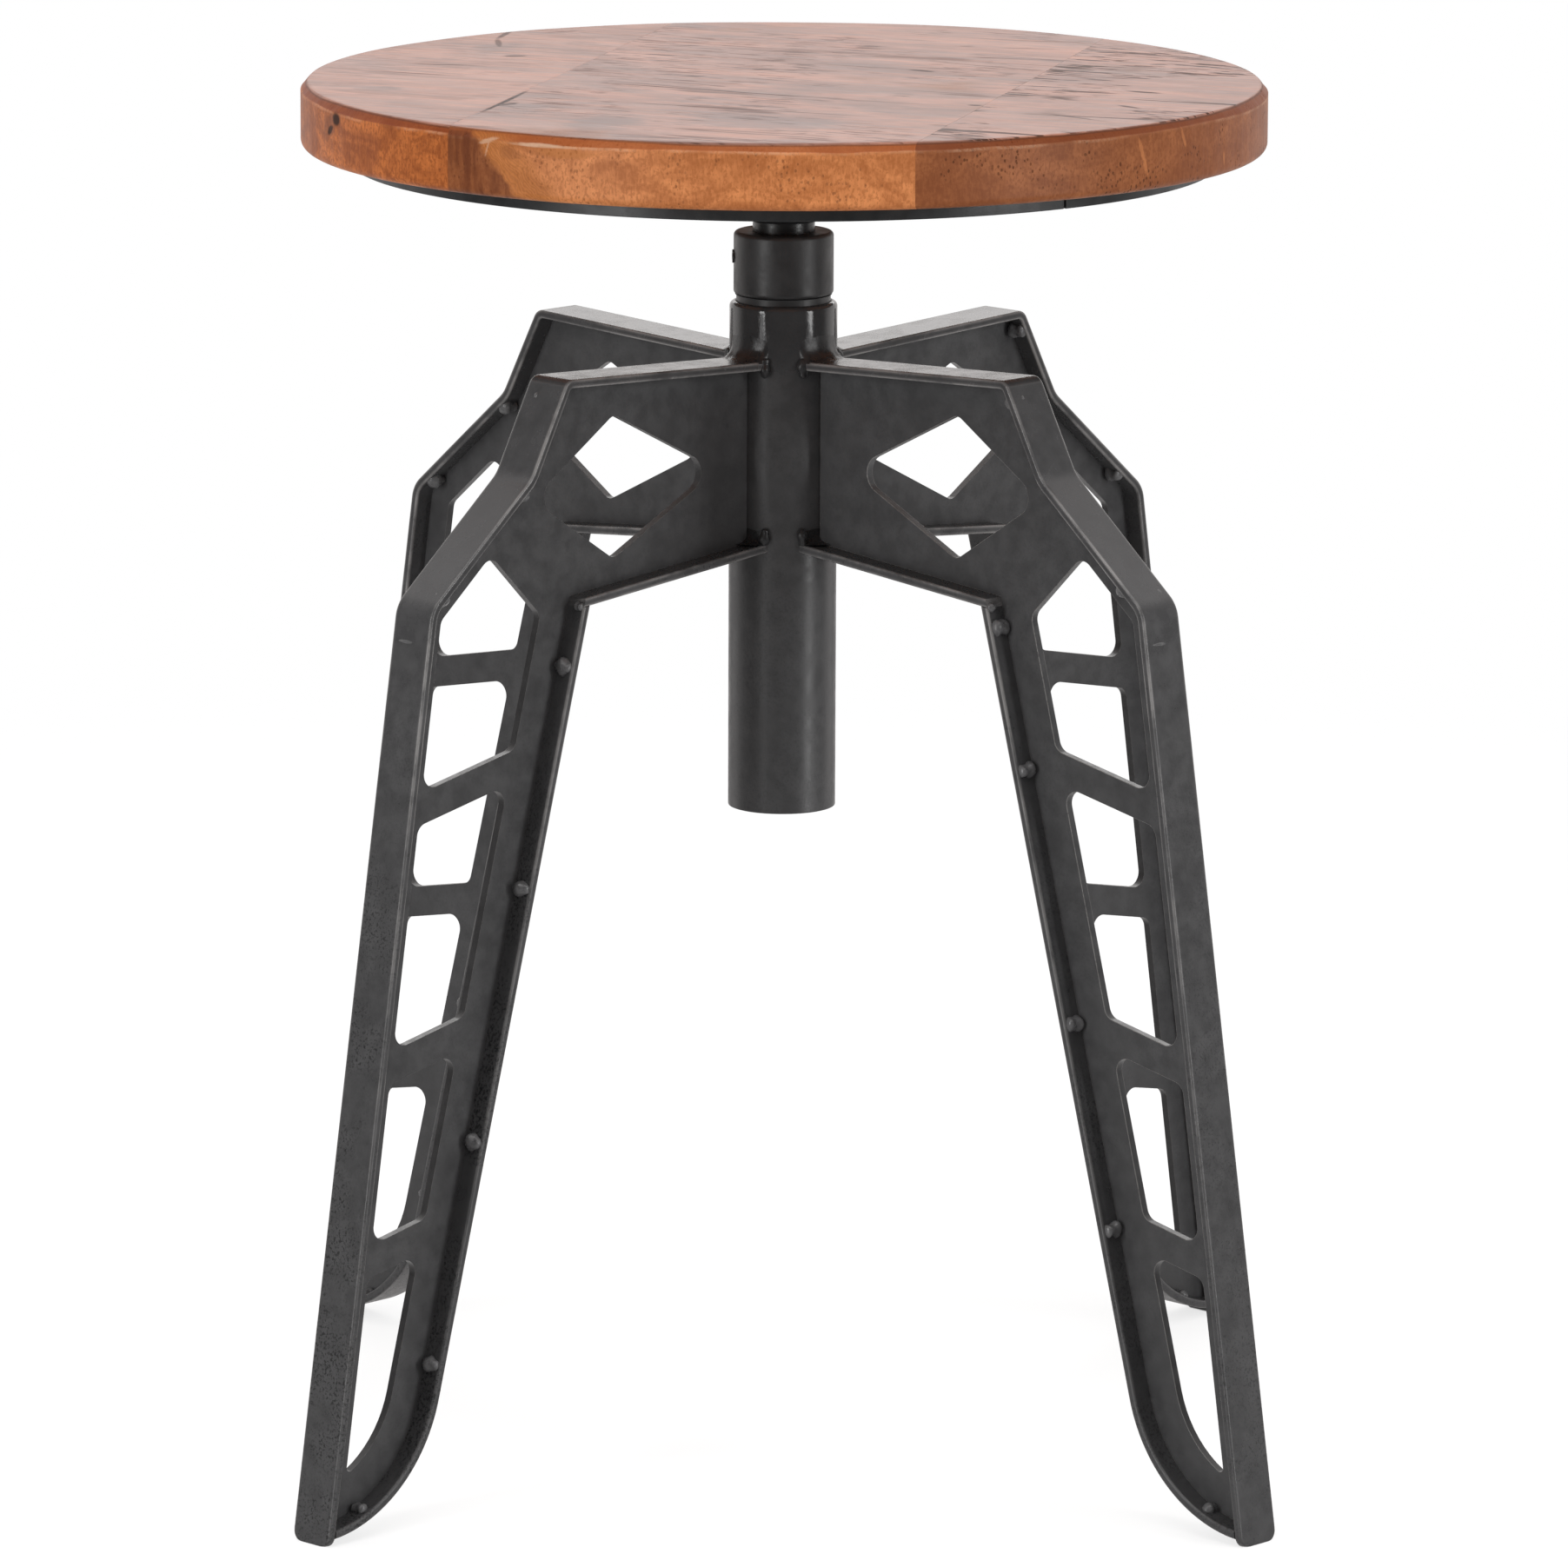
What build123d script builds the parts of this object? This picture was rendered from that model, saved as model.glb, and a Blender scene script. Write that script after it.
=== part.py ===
"""Screw-lift stool: a round timber seat on a threaded spindle, carried by four flanged steel legs.

Millimetres, +Z up. The origin is on the floor, on the axis of the hub.
The four legs stand on the X and Y axes; the seat is shown screwed fully down.
"""

import os
from math import asin, atan2, degrees, sqrt

from build123d import *

os.makedirs("parts", exist_ok=True)

# Hub tube and screw nut
hub_top_height = 428.0
hub_length = 190.0
hub_diameter = 40.0
hub_wall = 2.5
hub_rim_round = 1.8
rim_round_limit = 0.9
nut_diameter = 37.0
nut_head_height = 23.5
nut_stand_off = 2.5
nut_spigot_depth = 20.0
nut_chamfer = 1.5
grub_screw_diameter = 5.0
grub_screw_angle = 138.0
grub_screw_rise = 14.0
grub_screw_proud = 0.5
grub_socket_diameter = 2.5
grub_socket_depth = 2.5

# Screw spindle and its lower stop
thread_diameter = 20.0
shoulder_diameter = 23.0
screw_lead = 6.0
full_turns = 25
journal_diameter = 14.0
guide_thickness = 5.0
guide_chamfer = 1.0
end_bolt_diameter = 8.0
end_bolt_depth = 18.0
end_bolt_flange_diameter = 20.0
end_bolt_flange_thickness = 2.0
end_bolt_hex_radius = 7.5
end_bolt_hex_height = 6.0
spindle_chamfer = 1.2

# Seat frame
boss_diameter = 40.0
boss_height = 26.0
boss_neck_height = 4.0
boss_foot_diameter = 26.0
boss_cone_height = 7.0
ring_diameter = 320.0
ring_width = 25.0
ring_thickness = 6.0
ring_seam_gap = 0.8
ring_seam_angle = 263.0
cross_bar_width = 25.0

# Timber seat
seat_diameter = 356.0
seat_thickness = 24.0
seat_top_round = 4.5
seat_bottom_round = 3.0
middle_board_width = 170.4
middle_board_shift = -1.7
board_angle = 30.0
screw_count = 8
screw_first_angle = 22.5
screw_shank_diameter = 4.5
screw_grip_in_timber = 14.0
screw_head_diameter = 9.0
screw_head_height = 2.4

# Legs: reach is measured from the hub axis, drops are measured down from what is named
arm_top_drop = 21.0
arm_rise = 5.5
arm_depth = 69.0
elbow_reach = 121.0
elbow_round = 5.0
bend_reach = 139.3
bend_drop = 34.0
bend_round = 14.0
shoulder_reach = 189.0
shoulder_drop = 75.5
shoulder_round = 12.0
shoulder_weld_drop = 13.0
foot_reach = 242.5
foot_corner_round = 4.0
knee_reach = 109.5
knee_drop = 9.7
toe_radius = 58.0
toe_lift = 2.5
flat_bar_width = 19.0
flat_bar_thickness = 3.2
web_thickness = 3.0

# Cut-outs in the web plates: ties are measured down from the knee, the lowest up from the toe's centre
outer_rim = 9.5
inner_rim = 13.5
window_round = 5.0
window_tip_round = 1.5
window_peak_drop = 2.0
window_peak_angle = 45.0
tie_width = 11.5
tie_tilt = 11.3
tie_drops = (61.0, 155.0)
low_tie_rise = 41.8
diamond_reach = 83.5
diamond_drop = 38.1
diamond_half_length = 47.7
diamond_half_height = 26.6
diamond_lead = 6.5
diamond_tip_round = 7.0
diamond_side_round = 4.0

# Tack welds: shares of the straight run of a bar, on the two faces of the web
tack_width = 5.0
tack_height = 3.0
tack_length = 6.5
tack_end_chamfer = 1.5
inner_tacks = {1: (0.08, 0.36, 0.68, 0.96), -1: (0.03, 0.21, 0.53, 0.79)}
slope_tacks = {1: (0.08, 0.88), -1: (0.80,)}
elbow_tacks = {1: (), -1: (0.20,)}

# Clearances
thread_clearance = 0.08
journal_clearance = 0.08
guide_clearance = 0.3
end_play = 0.2
stop_clearance = 0.5
fixed_clearance = 0.02
web_hub_gap = 0.6
screw_clearance = 0.25

# Points nearer than this are one point
same_point = 0.01

# A round solid that stands on its place
standing = (Align.CENTER, Align.CENTER, Align.MIN)

# Heights worked out from the stack of parts
lift = screw_lead * full_turns
hub_bottom = hub_top_height - hub_length
hub_bore = hub_diameter - 2 * hub_wall
nut_bottom = hub_top_height + nut_stand_off
nut_top = nut_bottom + nut_head_height
spigot_bottom = hub_top_height - nut_spigot_depth
frame_bottom = nut_top + boss_height
seat_bottom = frame_bottom + ring_thickness
seat_top = seat_bottom + seat_thickness
guide_top = spigot_bottom - stop_clearance - lift
guide_bottom = guide_top - guide_thickness
journal_top = guide_top + end_play
spindle_bottom = guide_bottom - end_play

# Corner points of a leg, in its own upright plane: x out from the hub, y up
arm_top = Vector(0, hub_top_height - arm_top_drop)
arm_bottom = arm_top - Vector(0, arm_depth)
elbow = Vector(elbow_reach, arm_top.Y + arm_rise)
bend = Vector(bend_reach, elbow.Y - bend_drop)
shoulder = Vector(shoulder_reach, elbow.Y - shoulder_drop)
foot = Vector(foot_reach, 0)
knee = Vector(knee_reach, arm_bottom.Y - knee_drop)
toe_centre = Vector(foot_reach, toe_lift + toe_radius)


def left_of(direction):
    """A direction turned a quarter turn anticlockwise in the leg plane."""
    return Vector(-direction.Y, direction.X)


def crossing(point, along, other_point, other_along):
    """The point where two straight lines of the leg plane meet."""
    span = other_point - point
    spread = along.X * other_along.Y - along.Y * other_along.X
    return point + along * ((span.X * other_along.Y - span.Y * other_along.X) / spread)


def round_crossing(centre, radius, point, along):
    """The last point where a line meets a circle of the leg plane."""
    start = point - centre
    middle = start.dot(along)
    return point + along * (sqrt(middle**2 - start.dot(start) + radius**2) - middle)


# Directions of the bars, and the run of the inner bar down to its curved toe
to_toe = toe_centre - knee
inner_run = sqrt(to_toe.length**2 - toe_radius**2)
inner_down = to_toe.normalized().rotate(Axis.Z, -degrees(asin(toe_radius / to_toe.length)))
inner_in = left_of(inner_down)
toe_start = knee + inner_down * inner_run
outer_down = (foot - shoulder).normalized()
outer_in = left_of(outer_down) * -1
slope_down = (shoulder - bend).normalized()
slope_in = left_of(slope_down) * -1
elbow_down = (bend - elbow).normalized()
elbow_in = left_of(elbow_down) * -1
lower_out = (knee - arm_bottom).normalized()
lower_in = left_of(lower_out)
seam = shoulder + outer_down * shoulder_weld_drop

# Points on the faces that meet the web
inner_face = knee + inner_in * flat_bar_thickness
outer_face = shoulder + outer_in * flat_bar_thickness
lower_face = arm_bottom + lower_in * flat_bar_thickness
rail_end_low = crossing(arm_bottom, lower_out, inner_face, inner_down)
rail_end_high = crossing(lower_face, lower_out, inner_face, inner_down)
toe_tip = round_crossing(toe_centre, toe_radius, shoulder, outer_down)
toe_low = round_crossing(toe_centre, toe_radius, outer_face, outer_down)
toe_high = round_crossing(toe_centre, toe_radius - flat_bar_thickness, outer_face, outer_down)

# Upper rail: one flat bar bent three times, from the hub to the weld below the shoulder
with BuildSketch() as upper_rail_profile:
    with BuildLine():
        FilletPolyline(
            *(arm_top, elbow, bend, shoulder, seam),
            radius=[elbow_round, bend_round, shoulder_round],
        )
        offset(amount=flat_bar_thickness, side=Side.RIGHT)
    make_face()

# Outer bar: a straight flat bar from that weld to the floor
with BuildSketch() as outer_bar_profile:
    with BuildLine():
        floor_inner = crossing(outer_face, outer_down, foot, Vector(1, 0))
        Polyline(seam, foot, floor_inner, seam + outer_in * flat_bar_thickness, close=True)
    make_face()

# Lower rail: a straight flat bar under the arm, from the hub to the knee
with BuildSketch() as lower_rail_profile:
    with BuildLine():
        Polyline(arm_bottom, rail_end_low, rail_end_high, lower_face, close=True)
    make_face()

# Inner bar: straight down from the knee, then rolled outwards to meet the foot
with BuildSketch() as inner_bar_profile:
    with BuildLine():
        Line(knee, toe_start)
        TangentArc(toe_start, toe_low, tangent=inner_down)
        Line(toe_low, toe_high)
        toe_start_high = toe_start + inner_in * flat_bar_thickness
        TangentArc(toe_start_high, toe_high, tangent=inner_down)
        Polyline(toe_start_high, rail_end_low, knee)
    make_face()

# Cut-outs of the leg: one tapering window, crossed by sloping ties
window_inset = inner_rim + flat_bar_thickness
window_inner = knee + inner_in * window_inset
window_outer = shoulder + outer_in * (outer_rim + flat_bar_thickness)
window_slope = bend + slope_in * (outer_rim + flat_bar_thickness)
window_corner = crossing(window_slope, slope_down, window_outer, outer_down)
window_knee = crossing(window_inner, inner_down, Vector(0, knee.Y - window_peak_drop), Vector(1, 0))
peak_up = Vector(1, 0).rotate(Axis.Z, window_peak_angle)
window_peak = crossing(window_knee, peak_up, window_slope, slope_down)
window_toe = round_crossing(toe_centre, toe_radius - window_inset, window_outer, outer_down)
window_toe_start = toe_start + inner_in * window_inset

with BuildSketch() as window_profile:
    with BuildLine():
        Polyline(window_knee, window_peak, window_corner, window_toe)
        TangentArc(window_toe_start, window_toe, tangent=inner_down)
        Line(window_toe_start, window_knee)
    make_face()
    tie_heights = [knee.Y - drop for drop in tie_drops] + [toe_centre.Y + low_tie_rise]
    for height in tie_heights:
        tie_height = Vector(0, height)
        tie_inner = crossing(window_inner, inner_down, tie_height, Vector(1, 0))
        tie_outer = crossing(window_outer, outer_down, tie_height, Vector(1, 0))
        with Locations((tie_inner + tie_outer) * 0.5):
            Rectangle(foot_reach, tie_width, rotation=-tie_tilt, mode=Mode.SUBTRACT)
    toe_ends = (window_toe_start, window_toe)
    corners = window_profile.vertices().filter_by(
        lambda corner: min((Vector(corner) - end).length for end in toe_ends) > same_point
    )
    fillet(corners, window_round)
    fillet(window_profile.vertices().sort_by_distance(window_toe)[0], window_tip_round)

# Cut-out of the arm: a slightly lopsided diamond
with BuildSketch() as diamond_profile:
    diamond_centre = Vector(diamond_reach, arm_top.Y - diamond_drop)
    with BuildLine():
        Polyline(
            diamond_centre - Vector(diamond_half_length, 0),
            diamond_centre + Vector(diamond_lead, diamond_half_height),
            diamond_centre + Vector(diamond_half_length, 0),
            diamond_centre + Vector(diamond_lead, -diamond_half_height),
            close=True,
        )
    make_face()
    corners = diamond_profile.vertices().sort_by(Axis.Y)
    fillet([corners[0], corners[-1]], diamond_side_round)
    corners = diamond_profile.vertices().sort_by(Axis.X)
    fillet([corners[0], corners[-1]], diamond_tip_round)

# Web plate: fills the frame made by the bars, less its cut-outs
with BuildSketch() as web_profile:
    with BuildLine():
        FilletPolyline(
            *(arm_top, elbow, bend, shoulder, toe_tip),
            radius=[elbow_round, bend_round, shoulder_round],
        )
        TangentArc(toe_start, toe_tip, tangent=inner_down)
        Polyline(toe_start, knee, arm_bottom, arm_top)
    make_face()
    offset(amount=-flat_bar_thickness, kind=Kind.INTERSECTION)
    add(window_profile.sketch, mode=Mode.SUBTRACT)
    add(diamond_profile.sketch, mode=Mode.SUBTRACT)


def leg_plane(angle):
    """The upright plane of a leg: x runs out from the hub axis, y runs up."""
    out = Vector(1, 0, 0).rotate(Axis.Z, angle)
    return Plane(origin=(0, 0, 0), x_dir=out, z_dir=out.cross(Vector(0, 0, 1)))


def leg_piece(profile, width, angle, corner_round=0.0, hub_gap=0.0):
    """A bar or plate of a leg, centred on the leg's plane and coped to the hub tube.

    The corners of a foot, where its sides meet the floor, can be rounded. A plate can stop short of the hub.
    """
    plane = leg_plane(angle)
    with BuildPart() as piece:
        with BuildSketch(plane):
            add(profile.sketch)
        extrude(amount=width / 2, both=True)
        if corner_round:
            fillet(piece.edges().filter_by(Axis((0, 0, 0), plane.x_dir)), corner_round)
        Cylinder(hub_diameter / 2 + hub_gap, hub_top_height, align=standing, mode=Mode.SUBTRACT)
    return piece.part


def tack_places(side):
    """Places of the tack welds on one face of the web: a point on a bar, and the way into the leg."""
    runs = (
        (inner_tacks, inner_face, inner_down, inner_in, inner_run),
        (slope_tacks, bend + slope_in * flat_bar_thickness, slope_down, slope_in, (shoulder - bend).length),
        (elbow_tacks, elbow + elbow_in * flat_bar_thickness, elbow_down, elbow_in, (bend - elbow).length),
    )
    for tacks, start, along, inwards, length in runs:
        for share in tacks[side]:
            yield start + along * (share * length), inwards


def tack_welds(angle):
    """Short weld beads in the corners between the web and the flat bars of a leg."""
    plane = leg_plane(angle)
    with BuildPart() as beads:
        for side in (1, -1):
            away = plane.z_dir * -side
            for place, inwards in tack_places(side):
                root = plane.from_local_coords(place) + away * (web_thickness / 2)
                along = plane.from_local_coords(inwards).cross(away)
                with BuildSketch(Plane(origin=root, x_dir=along, z_dir=away)):
                    with BuildLine():
                        half = tack_width / 2
                        ThreePointArc((-half, 0), (0, tack_height), (half, 0))
                        Line((half, 0), (-half, 0))
                    make_face()
                extrude(amount=tack_length)
        bead_ends = beads.edges().filter_by(GeomType.CIRCLE).filter_by(
            lambda edge: abs(plane.to_local_coords(edge.center()).Z) > tack_length / 2 + web_thickness / 2
        )
        chamfer(bead_ends, tack_end_chamfer)
    return beads.part


leg_angles = {"right": 0, "back": 90, "left": 180, "front": 270}
for leg, angle in leg_angles.items():
    pieces = {
        "web_plate": leg_piece(web_profile, web_thickness, angle, hub_gap=web_hub_gap),
        "upper_rail": leg_piece(upper_rail_profile, flat_bar_width, angle),
        "outer_bar": leg_piece(outer_bar_profile, flat_bar_width, angle, foot_corner_round),
        "lower_rail": leg_piece(lower_rail_profile, flat_bar_width, angle),
        "inner_bar": leg_piece(inner_bar_profile, flat_bar_width, angle),
        "tack_welds": tack_welds(angle),
    }
    for piece_name, piece in pieces.items():
        piece.label = f"{leg}_{piece_name}"
        export_step(piece, f"parts/{piece.label}.step")

# Hub tube, with its upper rim rounded over
with BuildPart() as hub_tube:
    with BuildSketch(Plane.XY.offset(hub_bottom)):
        Circle(hub_diameter / 2)
        Circle(hub_bore / 2, mode=Mode.SUBTRACT)
    extrude(amount=hub_length)
    rim = hub_tube.faces().sort_by(Axis.Z)[-1].outer_wire().edges()
    fillet(rim, min(hub_rim_round, rim_round_limit * hub_wall))
hub_tube.part.label = "hub_tube"
export_step(hub_tube.part, "parts/hub_tube.step")

# Screw nut: a chamfered round head on a spigot that sits in the hub tube
grub_plane = Plane(
    origin=(0, 0, nut_bottom + grub_screw_rise),
    z_dir=Vector(1, 0, 0).rotate(Axis.Z, grub_screw_angle),
)
with BuildPart() as screw_nut:
    with BuildSketch(Plane.XZ):
        with BuildLine():
            nut_radius = nut_diameter / 2
            nut_bore = thread_diameter / 2 + thread_clearance
            spigot_radius = hub_bore / 2 - fixed_clearance
            Polyline(
                (nut_bore, spigot_bottom),
                (spigot_radius, spigot_bottom),
                (spigot_radius, nut_bottom),
                (nut_radius - nut_chamfer, nut_bottom),
                (nut_radius, nut_bottom + nut_chamfer),
                (nut_radius, nut_top - nut_chamfer),
                (nut_radius - nut_chamfer, nut_top),
                (nut_bore, nut_top),
                close=True,
            )
        make_face()
    revolve(axis=Axis.Z)
    with BuildSketch(grub_plane):
        Circle(grub_screw_diameter / 2 + fixed_clearance)
    extrude(amount=nut_diameter, mode=Mode.SUBTRACT)
screw_nut.part.label = "screw_nut"
export_step(screw_nut.part, "parts/screw_nut.step")

# Grub screw in the side of the nut, backed off from the thread
with BuildPart() as grub_screw:
    grub_start = thread_diameter / 2 + stop_clearance
    grub_end = nut_diameter / 2 + grub_screw_proud
    with BuildSketch(grub_plane.offset(grub_start)):
        Circle(grub_screw_diameter / 2)
    extrude(amount=grub_end - grub_start)
    with BuildSketch(grub_plane.offset(grub_end)):
        RegularPolygon(grub_socket_diameter / 2, 6)
    extrude(amount=-grub_socket_depth, mode=Mode.SUBTRACT)
grub_screw.part.label = "grub_screw"
export_step(grub_screw.part, "parts/grub_screw.step")

# Guide washer: rises with the spindle inside the hub tube and stops under the nut
with BuildPart() as guide_washer:
    with BuildSketch(Plane.XY.offset(guide_bottom)):
        Circle(hub_bore / 2 - guide_clearance)
        Circle(journal_diameter / 2 + journal_clearance, mode=Mode.SUBTRACT)
    extrude(amount=guide_thickness)
    rims = [face.outer_wire().edges() for face in guide_washer.faces().filter_by(Plane.XY)]
    chamfer(rims[0] + rims[1], guide_chamfer)
guide_washer.part.label = "guide_washer"
export_step(guide_washer.part, "parts/guide_washer.step")

# Spindle: threaded below its shoulder, with a journal for the guide washer
with BuildPart() as spindle:
    with BuildSketch(Plane.XZ):
        with BuildLine():
            bolt_hole = end_bolt_diameter / 2 + fixed_clearance
            Polyline(
                (bolt_hole, spindle_bottom),
                (journal_diameter / 2, spindle_bottom),
                (journal_diameter / 2, journal_top),
                (thread_diameter / 2 - spindle_chamfer, journal_top),
                (thread_diameter / 2, journal_top + spindle_chamfer),
                (thread_diameter / 2, nut_top),
                (shoulder_diameter / 2, nut_top),
                (shoulder_diameter / 2, frame_bottom),
                (0, frame_bottom),
                (0, spindle_bottom + end_bolt_depth),
                (bolt_hole, spindle_bottom + end_bolt_depth),
                close=True,
            )
        make_face()
    revolve(axis=Axis.Z)
spindle.part.label = "spindle"
export_step(spindle.part, "parts/spindle.step")

# End bolt: its flange keeps the guide washer on the journal
with BuildPart() as end_bolt:
    with BuildSketch(Plane.XY.offset(spindle_bottom)):
        Circle(end_bolt_diameter / 2)
    extrude(amount=end_bolt_depth)
    with BuildSketch(Plane.XY.offset(spindle_bottom)):
        Circle(end_bolt_flange_diameter / 2)
    extrude(amount=-end_bolt_flange_thickness)
    with BuildSketch(Plane.XY.offset(spindle_bottom - end_bolt_flange_thickness)):
        RegularPolygon(end_bolt_hex_radius, 6)
    extrude(amount=-end_bolt_hex_height)
end_bolt.part.label = "end_bolt"
export_step(end_bolt.part, "parts/end_bolt.step")

# Boss: carries the seat frame on the spindle's shoulder
with BuildPart() as spindle_boss:
    with BuildSketch(Plane.XZ):
        with BuildLine():
            boss_bore = shoulder_diameter / 2 + fixed_clearance
            boss_bottom = nut_top + boss_neck_height
            Polyline(
                (boss_bore, boss_bottom),
                (boss_foot_diameter / 2, boss_bottom),
                (boss_diameter / 2, boss_bottom + boss_cone_height),
                (boss_diameter / 2, frame_bottom),
                (boss_bore, frame_bottom),
                close=True,
            )
        make_face()
    revolve(axis=Axis.Z)
spindle_boss.part.label = "spindle_boss"
export_step(spindle_boss.part, "parts/spindle_boss.step")

# Seat ring: a flat bar rolled round, its two ends not quite meeting
ring_inner = ring_diameter / 2 - ring_width
screw_circle = ring_diameter / 2 - ring_width / 2
screw_flare = (screw_head_diameter - screw_shank_diameter) / 2
screw_head_angle = 2 * degrees(atan2(screw_flare, screw_head_height))
with BuildPart() as seat_ring:
    with BuildSketch(Plane.XY.offset(frame_bottom)):
        Circle(ring_diameter / 2)
        Circle(ring_inner, mode=Mode.SUBTRACT)
        with PolarLocations(screw_circle, 1, start_angle=ring_seam_angle):
            Rectangle(2 * ring_width, ring_seam_gap, mode=Mode.SUBTRACT)
    extrude(amount=ring_thickness)
    with Locations(Plane(origin=(0, 0, frame_bottom), z_dir=(0, 0, -1))):
        with PolarLocations(screw_circle, screw_count, start_angle=screw_first_angle):
            CounterSinkHole(
                screw_shank_diameter / 2 + screw_clearance,
                screw_head_diameter / 2 + fixed_clearance,
                depth=ring_thickness,
                counter_sink_angle=screw_head_angle,
            )
seat_ring.part.label = "seat_ring"
export_step(seat_ring.part, "parts/seat_ring.step")

# Cross bars in the ring: one across, and a short one to each side of it
with BuildPart() as cross_bar:
    with BuildSketch(Plane.XY.offset(frame_bottom)):
        Circle(ring_inner)
        Rectangle(2 * ring_inner, cross_bar_width, mode=Mode.INTERSECT)
    extrude(amount=ring_thickness)
cross_bar.part.label = "cross_bar"
export_step(cross_bar.part, "parts/cross_bar.step")

for name, side in (("cross_arm_front", -1), ("cross_arm_back", 1)):
    with BuildPart() as cross_arm:
        with BuildSketch(Plane.XY.offset(frame_bottom)):
            Circle(ring_inner)
            with Locations((0, side * (cross_bar_width + ring_inner) / 2)):
                Rectangle(cross_bar_width, ring_inner, mode=Mode.INTERSECT)
        extrude(amount=ring_thickness)
    cross_arm.part.label = name
    export_step(cross_arm.part, f"parts/{name}.step")

# Timber seat: three boards glued edge to edge, turned round and eased at the rim
joint_plane = Plane(origin=(0, 0, 0), z_dir=Vector(0, 1, 0).rotate(Axis.Z, board_angle))
left_joint = joint_plane.offset(middle_board_shift + middle_board_width / 2)
right_joint = joint_plane.offset(middle_board_shift - middle_board_width / 2)
board_sides = {
    "seat_board_left": ((left_joint, Keep.TOP),),
    "seat_board_middle": ((left_joint, Keep.BOTTOM), (right_joint, Keep.TOP)),
    "seat_board_right": ((right_joint, Keep.BOTTOM),),
}
for name, cuts in board_sides.items():
    with BuildPart() as board:
        with BuildSketch(Plane.XY.offset(seat_bottom)):
            Circle(seat_diameter / 2)
        extrude(amount=seat_thickness)
        fillet(board.edges().sort_by(Axis.Z)[-1], seat_top_round)
        fillet(board.edges().sort_by(Axis.Z)[0], seat_bottom_round)
        with BuildSketch(Plane.XY.offset(seat_bottom)):
            with PolarLocations(screw_circle, screw_count, start_angle=screw_first_angle):
                Circle(screw_shank_diameter / 2 + fixed_clearance)
        extrude(amount=screw_grip_in_timber, mode=Mode.SUBTRACT)
        for joint, kept_side in cuts:
            split(bisect_by=joint, keep=kept_side)
    board.part.label = name
    export_step(board.part, f"parts/{name}.step")

# Wood screws: countersunk flush with the ring's underside, shanks through it into the boards
with BuildPart() as wood_screws:
    with Locations((0, 0, frame_bottom)):
        with PolarLocations(screw_circle, screw_count, start_angle=screw_first_angle):
            Cone(screw_head_diameter / 2, screw_shank_diameter / 2, screw_head_height, align=standing)
            Cylinder(screw_shank_diameter / 2, ring_thickness + screw_grip_in_timber, align=standing)
wood_screws.part.label = "wood_screws"
export_step(wood_screws.part, "parts/wood_screws.step")
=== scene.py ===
"""Looks of a screw-lift stool: flanged steel legs, a screw hub and a round plank seat.

Laid out as an add-on and run as a script. Lengths are in metres, in the frame of the packed solids.
"""

from math import atan2, cos, pi, radians, sin, sqrt, tan
from types import SimpleNamespace

import bmesh
import bpy
import numpy as np
from bpy.props import FloatProperty, FloatVectorProperty, PointerProperty
from mathutils import Euler, Matrix, Vector


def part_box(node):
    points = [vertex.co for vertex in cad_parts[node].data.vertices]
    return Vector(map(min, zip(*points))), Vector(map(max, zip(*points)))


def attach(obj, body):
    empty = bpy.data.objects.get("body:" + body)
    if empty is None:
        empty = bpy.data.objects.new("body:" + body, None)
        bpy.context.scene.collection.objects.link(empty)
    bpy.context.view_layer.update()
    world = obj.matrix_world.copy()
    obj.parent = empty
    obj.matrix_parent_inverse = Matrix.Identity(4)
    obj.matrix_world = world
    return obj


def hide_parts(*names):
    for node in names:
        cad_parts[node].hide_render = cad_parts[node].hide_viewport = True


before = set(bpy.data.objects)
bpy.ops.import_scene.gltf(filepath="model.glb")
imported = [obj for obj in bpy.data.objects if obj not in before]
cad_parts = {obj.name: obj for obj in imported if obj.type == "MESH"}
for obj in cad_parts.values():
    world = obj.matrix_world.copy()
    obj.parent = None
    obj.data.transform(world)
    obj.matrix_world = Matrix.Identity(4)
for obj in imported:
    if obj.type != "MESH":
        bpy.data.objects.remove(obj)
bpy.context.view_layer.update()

bl_info = {
    "name": "Screw-lift stool",
    "version": (1, 0, 0),
    "blender": (4, 5, 0),
    "location": "View3D > Sidebar > Stool",
    "description": "Dresses a screw-lift stool: painted legs, turned hub, threaded spindle and plank seat",
    "category": "Object",
}

MM = 0.001
MERGE = 0.002 * MM

# Legs: name and the direction in which each one stands
LEG_WAYS = {"right": (1, 0), "back": (0, 1), "left": (-1, 0), "front": (0, -1)}

# Tack welds: shares of the straight run of a bar, on the two faces of the web
INNER_TACKS = {1: (0.08, 0.36, 0.68, 0.96), -1: (0.03, 0.21, 0.53, 0.79)}
SLOPE_TACKS = {1: (0.08, 0.88), -1: (0.80,)}
ELBOW_TACKS = {1: (), -1: (0.20,)}


def length(label, words, value):
    """A setting that is a length."""
    return FloatProperty(name=label, description=words, default=value, unit="LENGTH", precision=4)


def angular(label, words, degrees):
    """A setting that is an angle."""
    return FloatProperty(name=label, description=words, default=radians(degrees), subtype="ANGLE")


def factor(label, words, value):
    """A setting that is a share of one."""
    return FloatProperty(name=label, description=words, default=value, subtype="FACTOR", min=0, max=1)


def focal_length(label, words, value):
    """A setting that is a camera's focal length, in millimetres."""
    return FloatProperty(name=label, description=words, default=value, unit="CAMERA", min=1)


def place(label, words, value):
    """A setting that is a point of an upright plane: reach from the hub's axis, and height."""
    return FloatVectorProperty(
        name=label, description=words, default=value, size=2, unit="LENGTH", precision=4
    )


def colour(label, words, value):
    """A setting that is a colour."""
    return FloatVectorProperty(
        name=label, description=words, default=value, size=3, subtype="COLOR", min=0, max=1
    )


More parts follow.
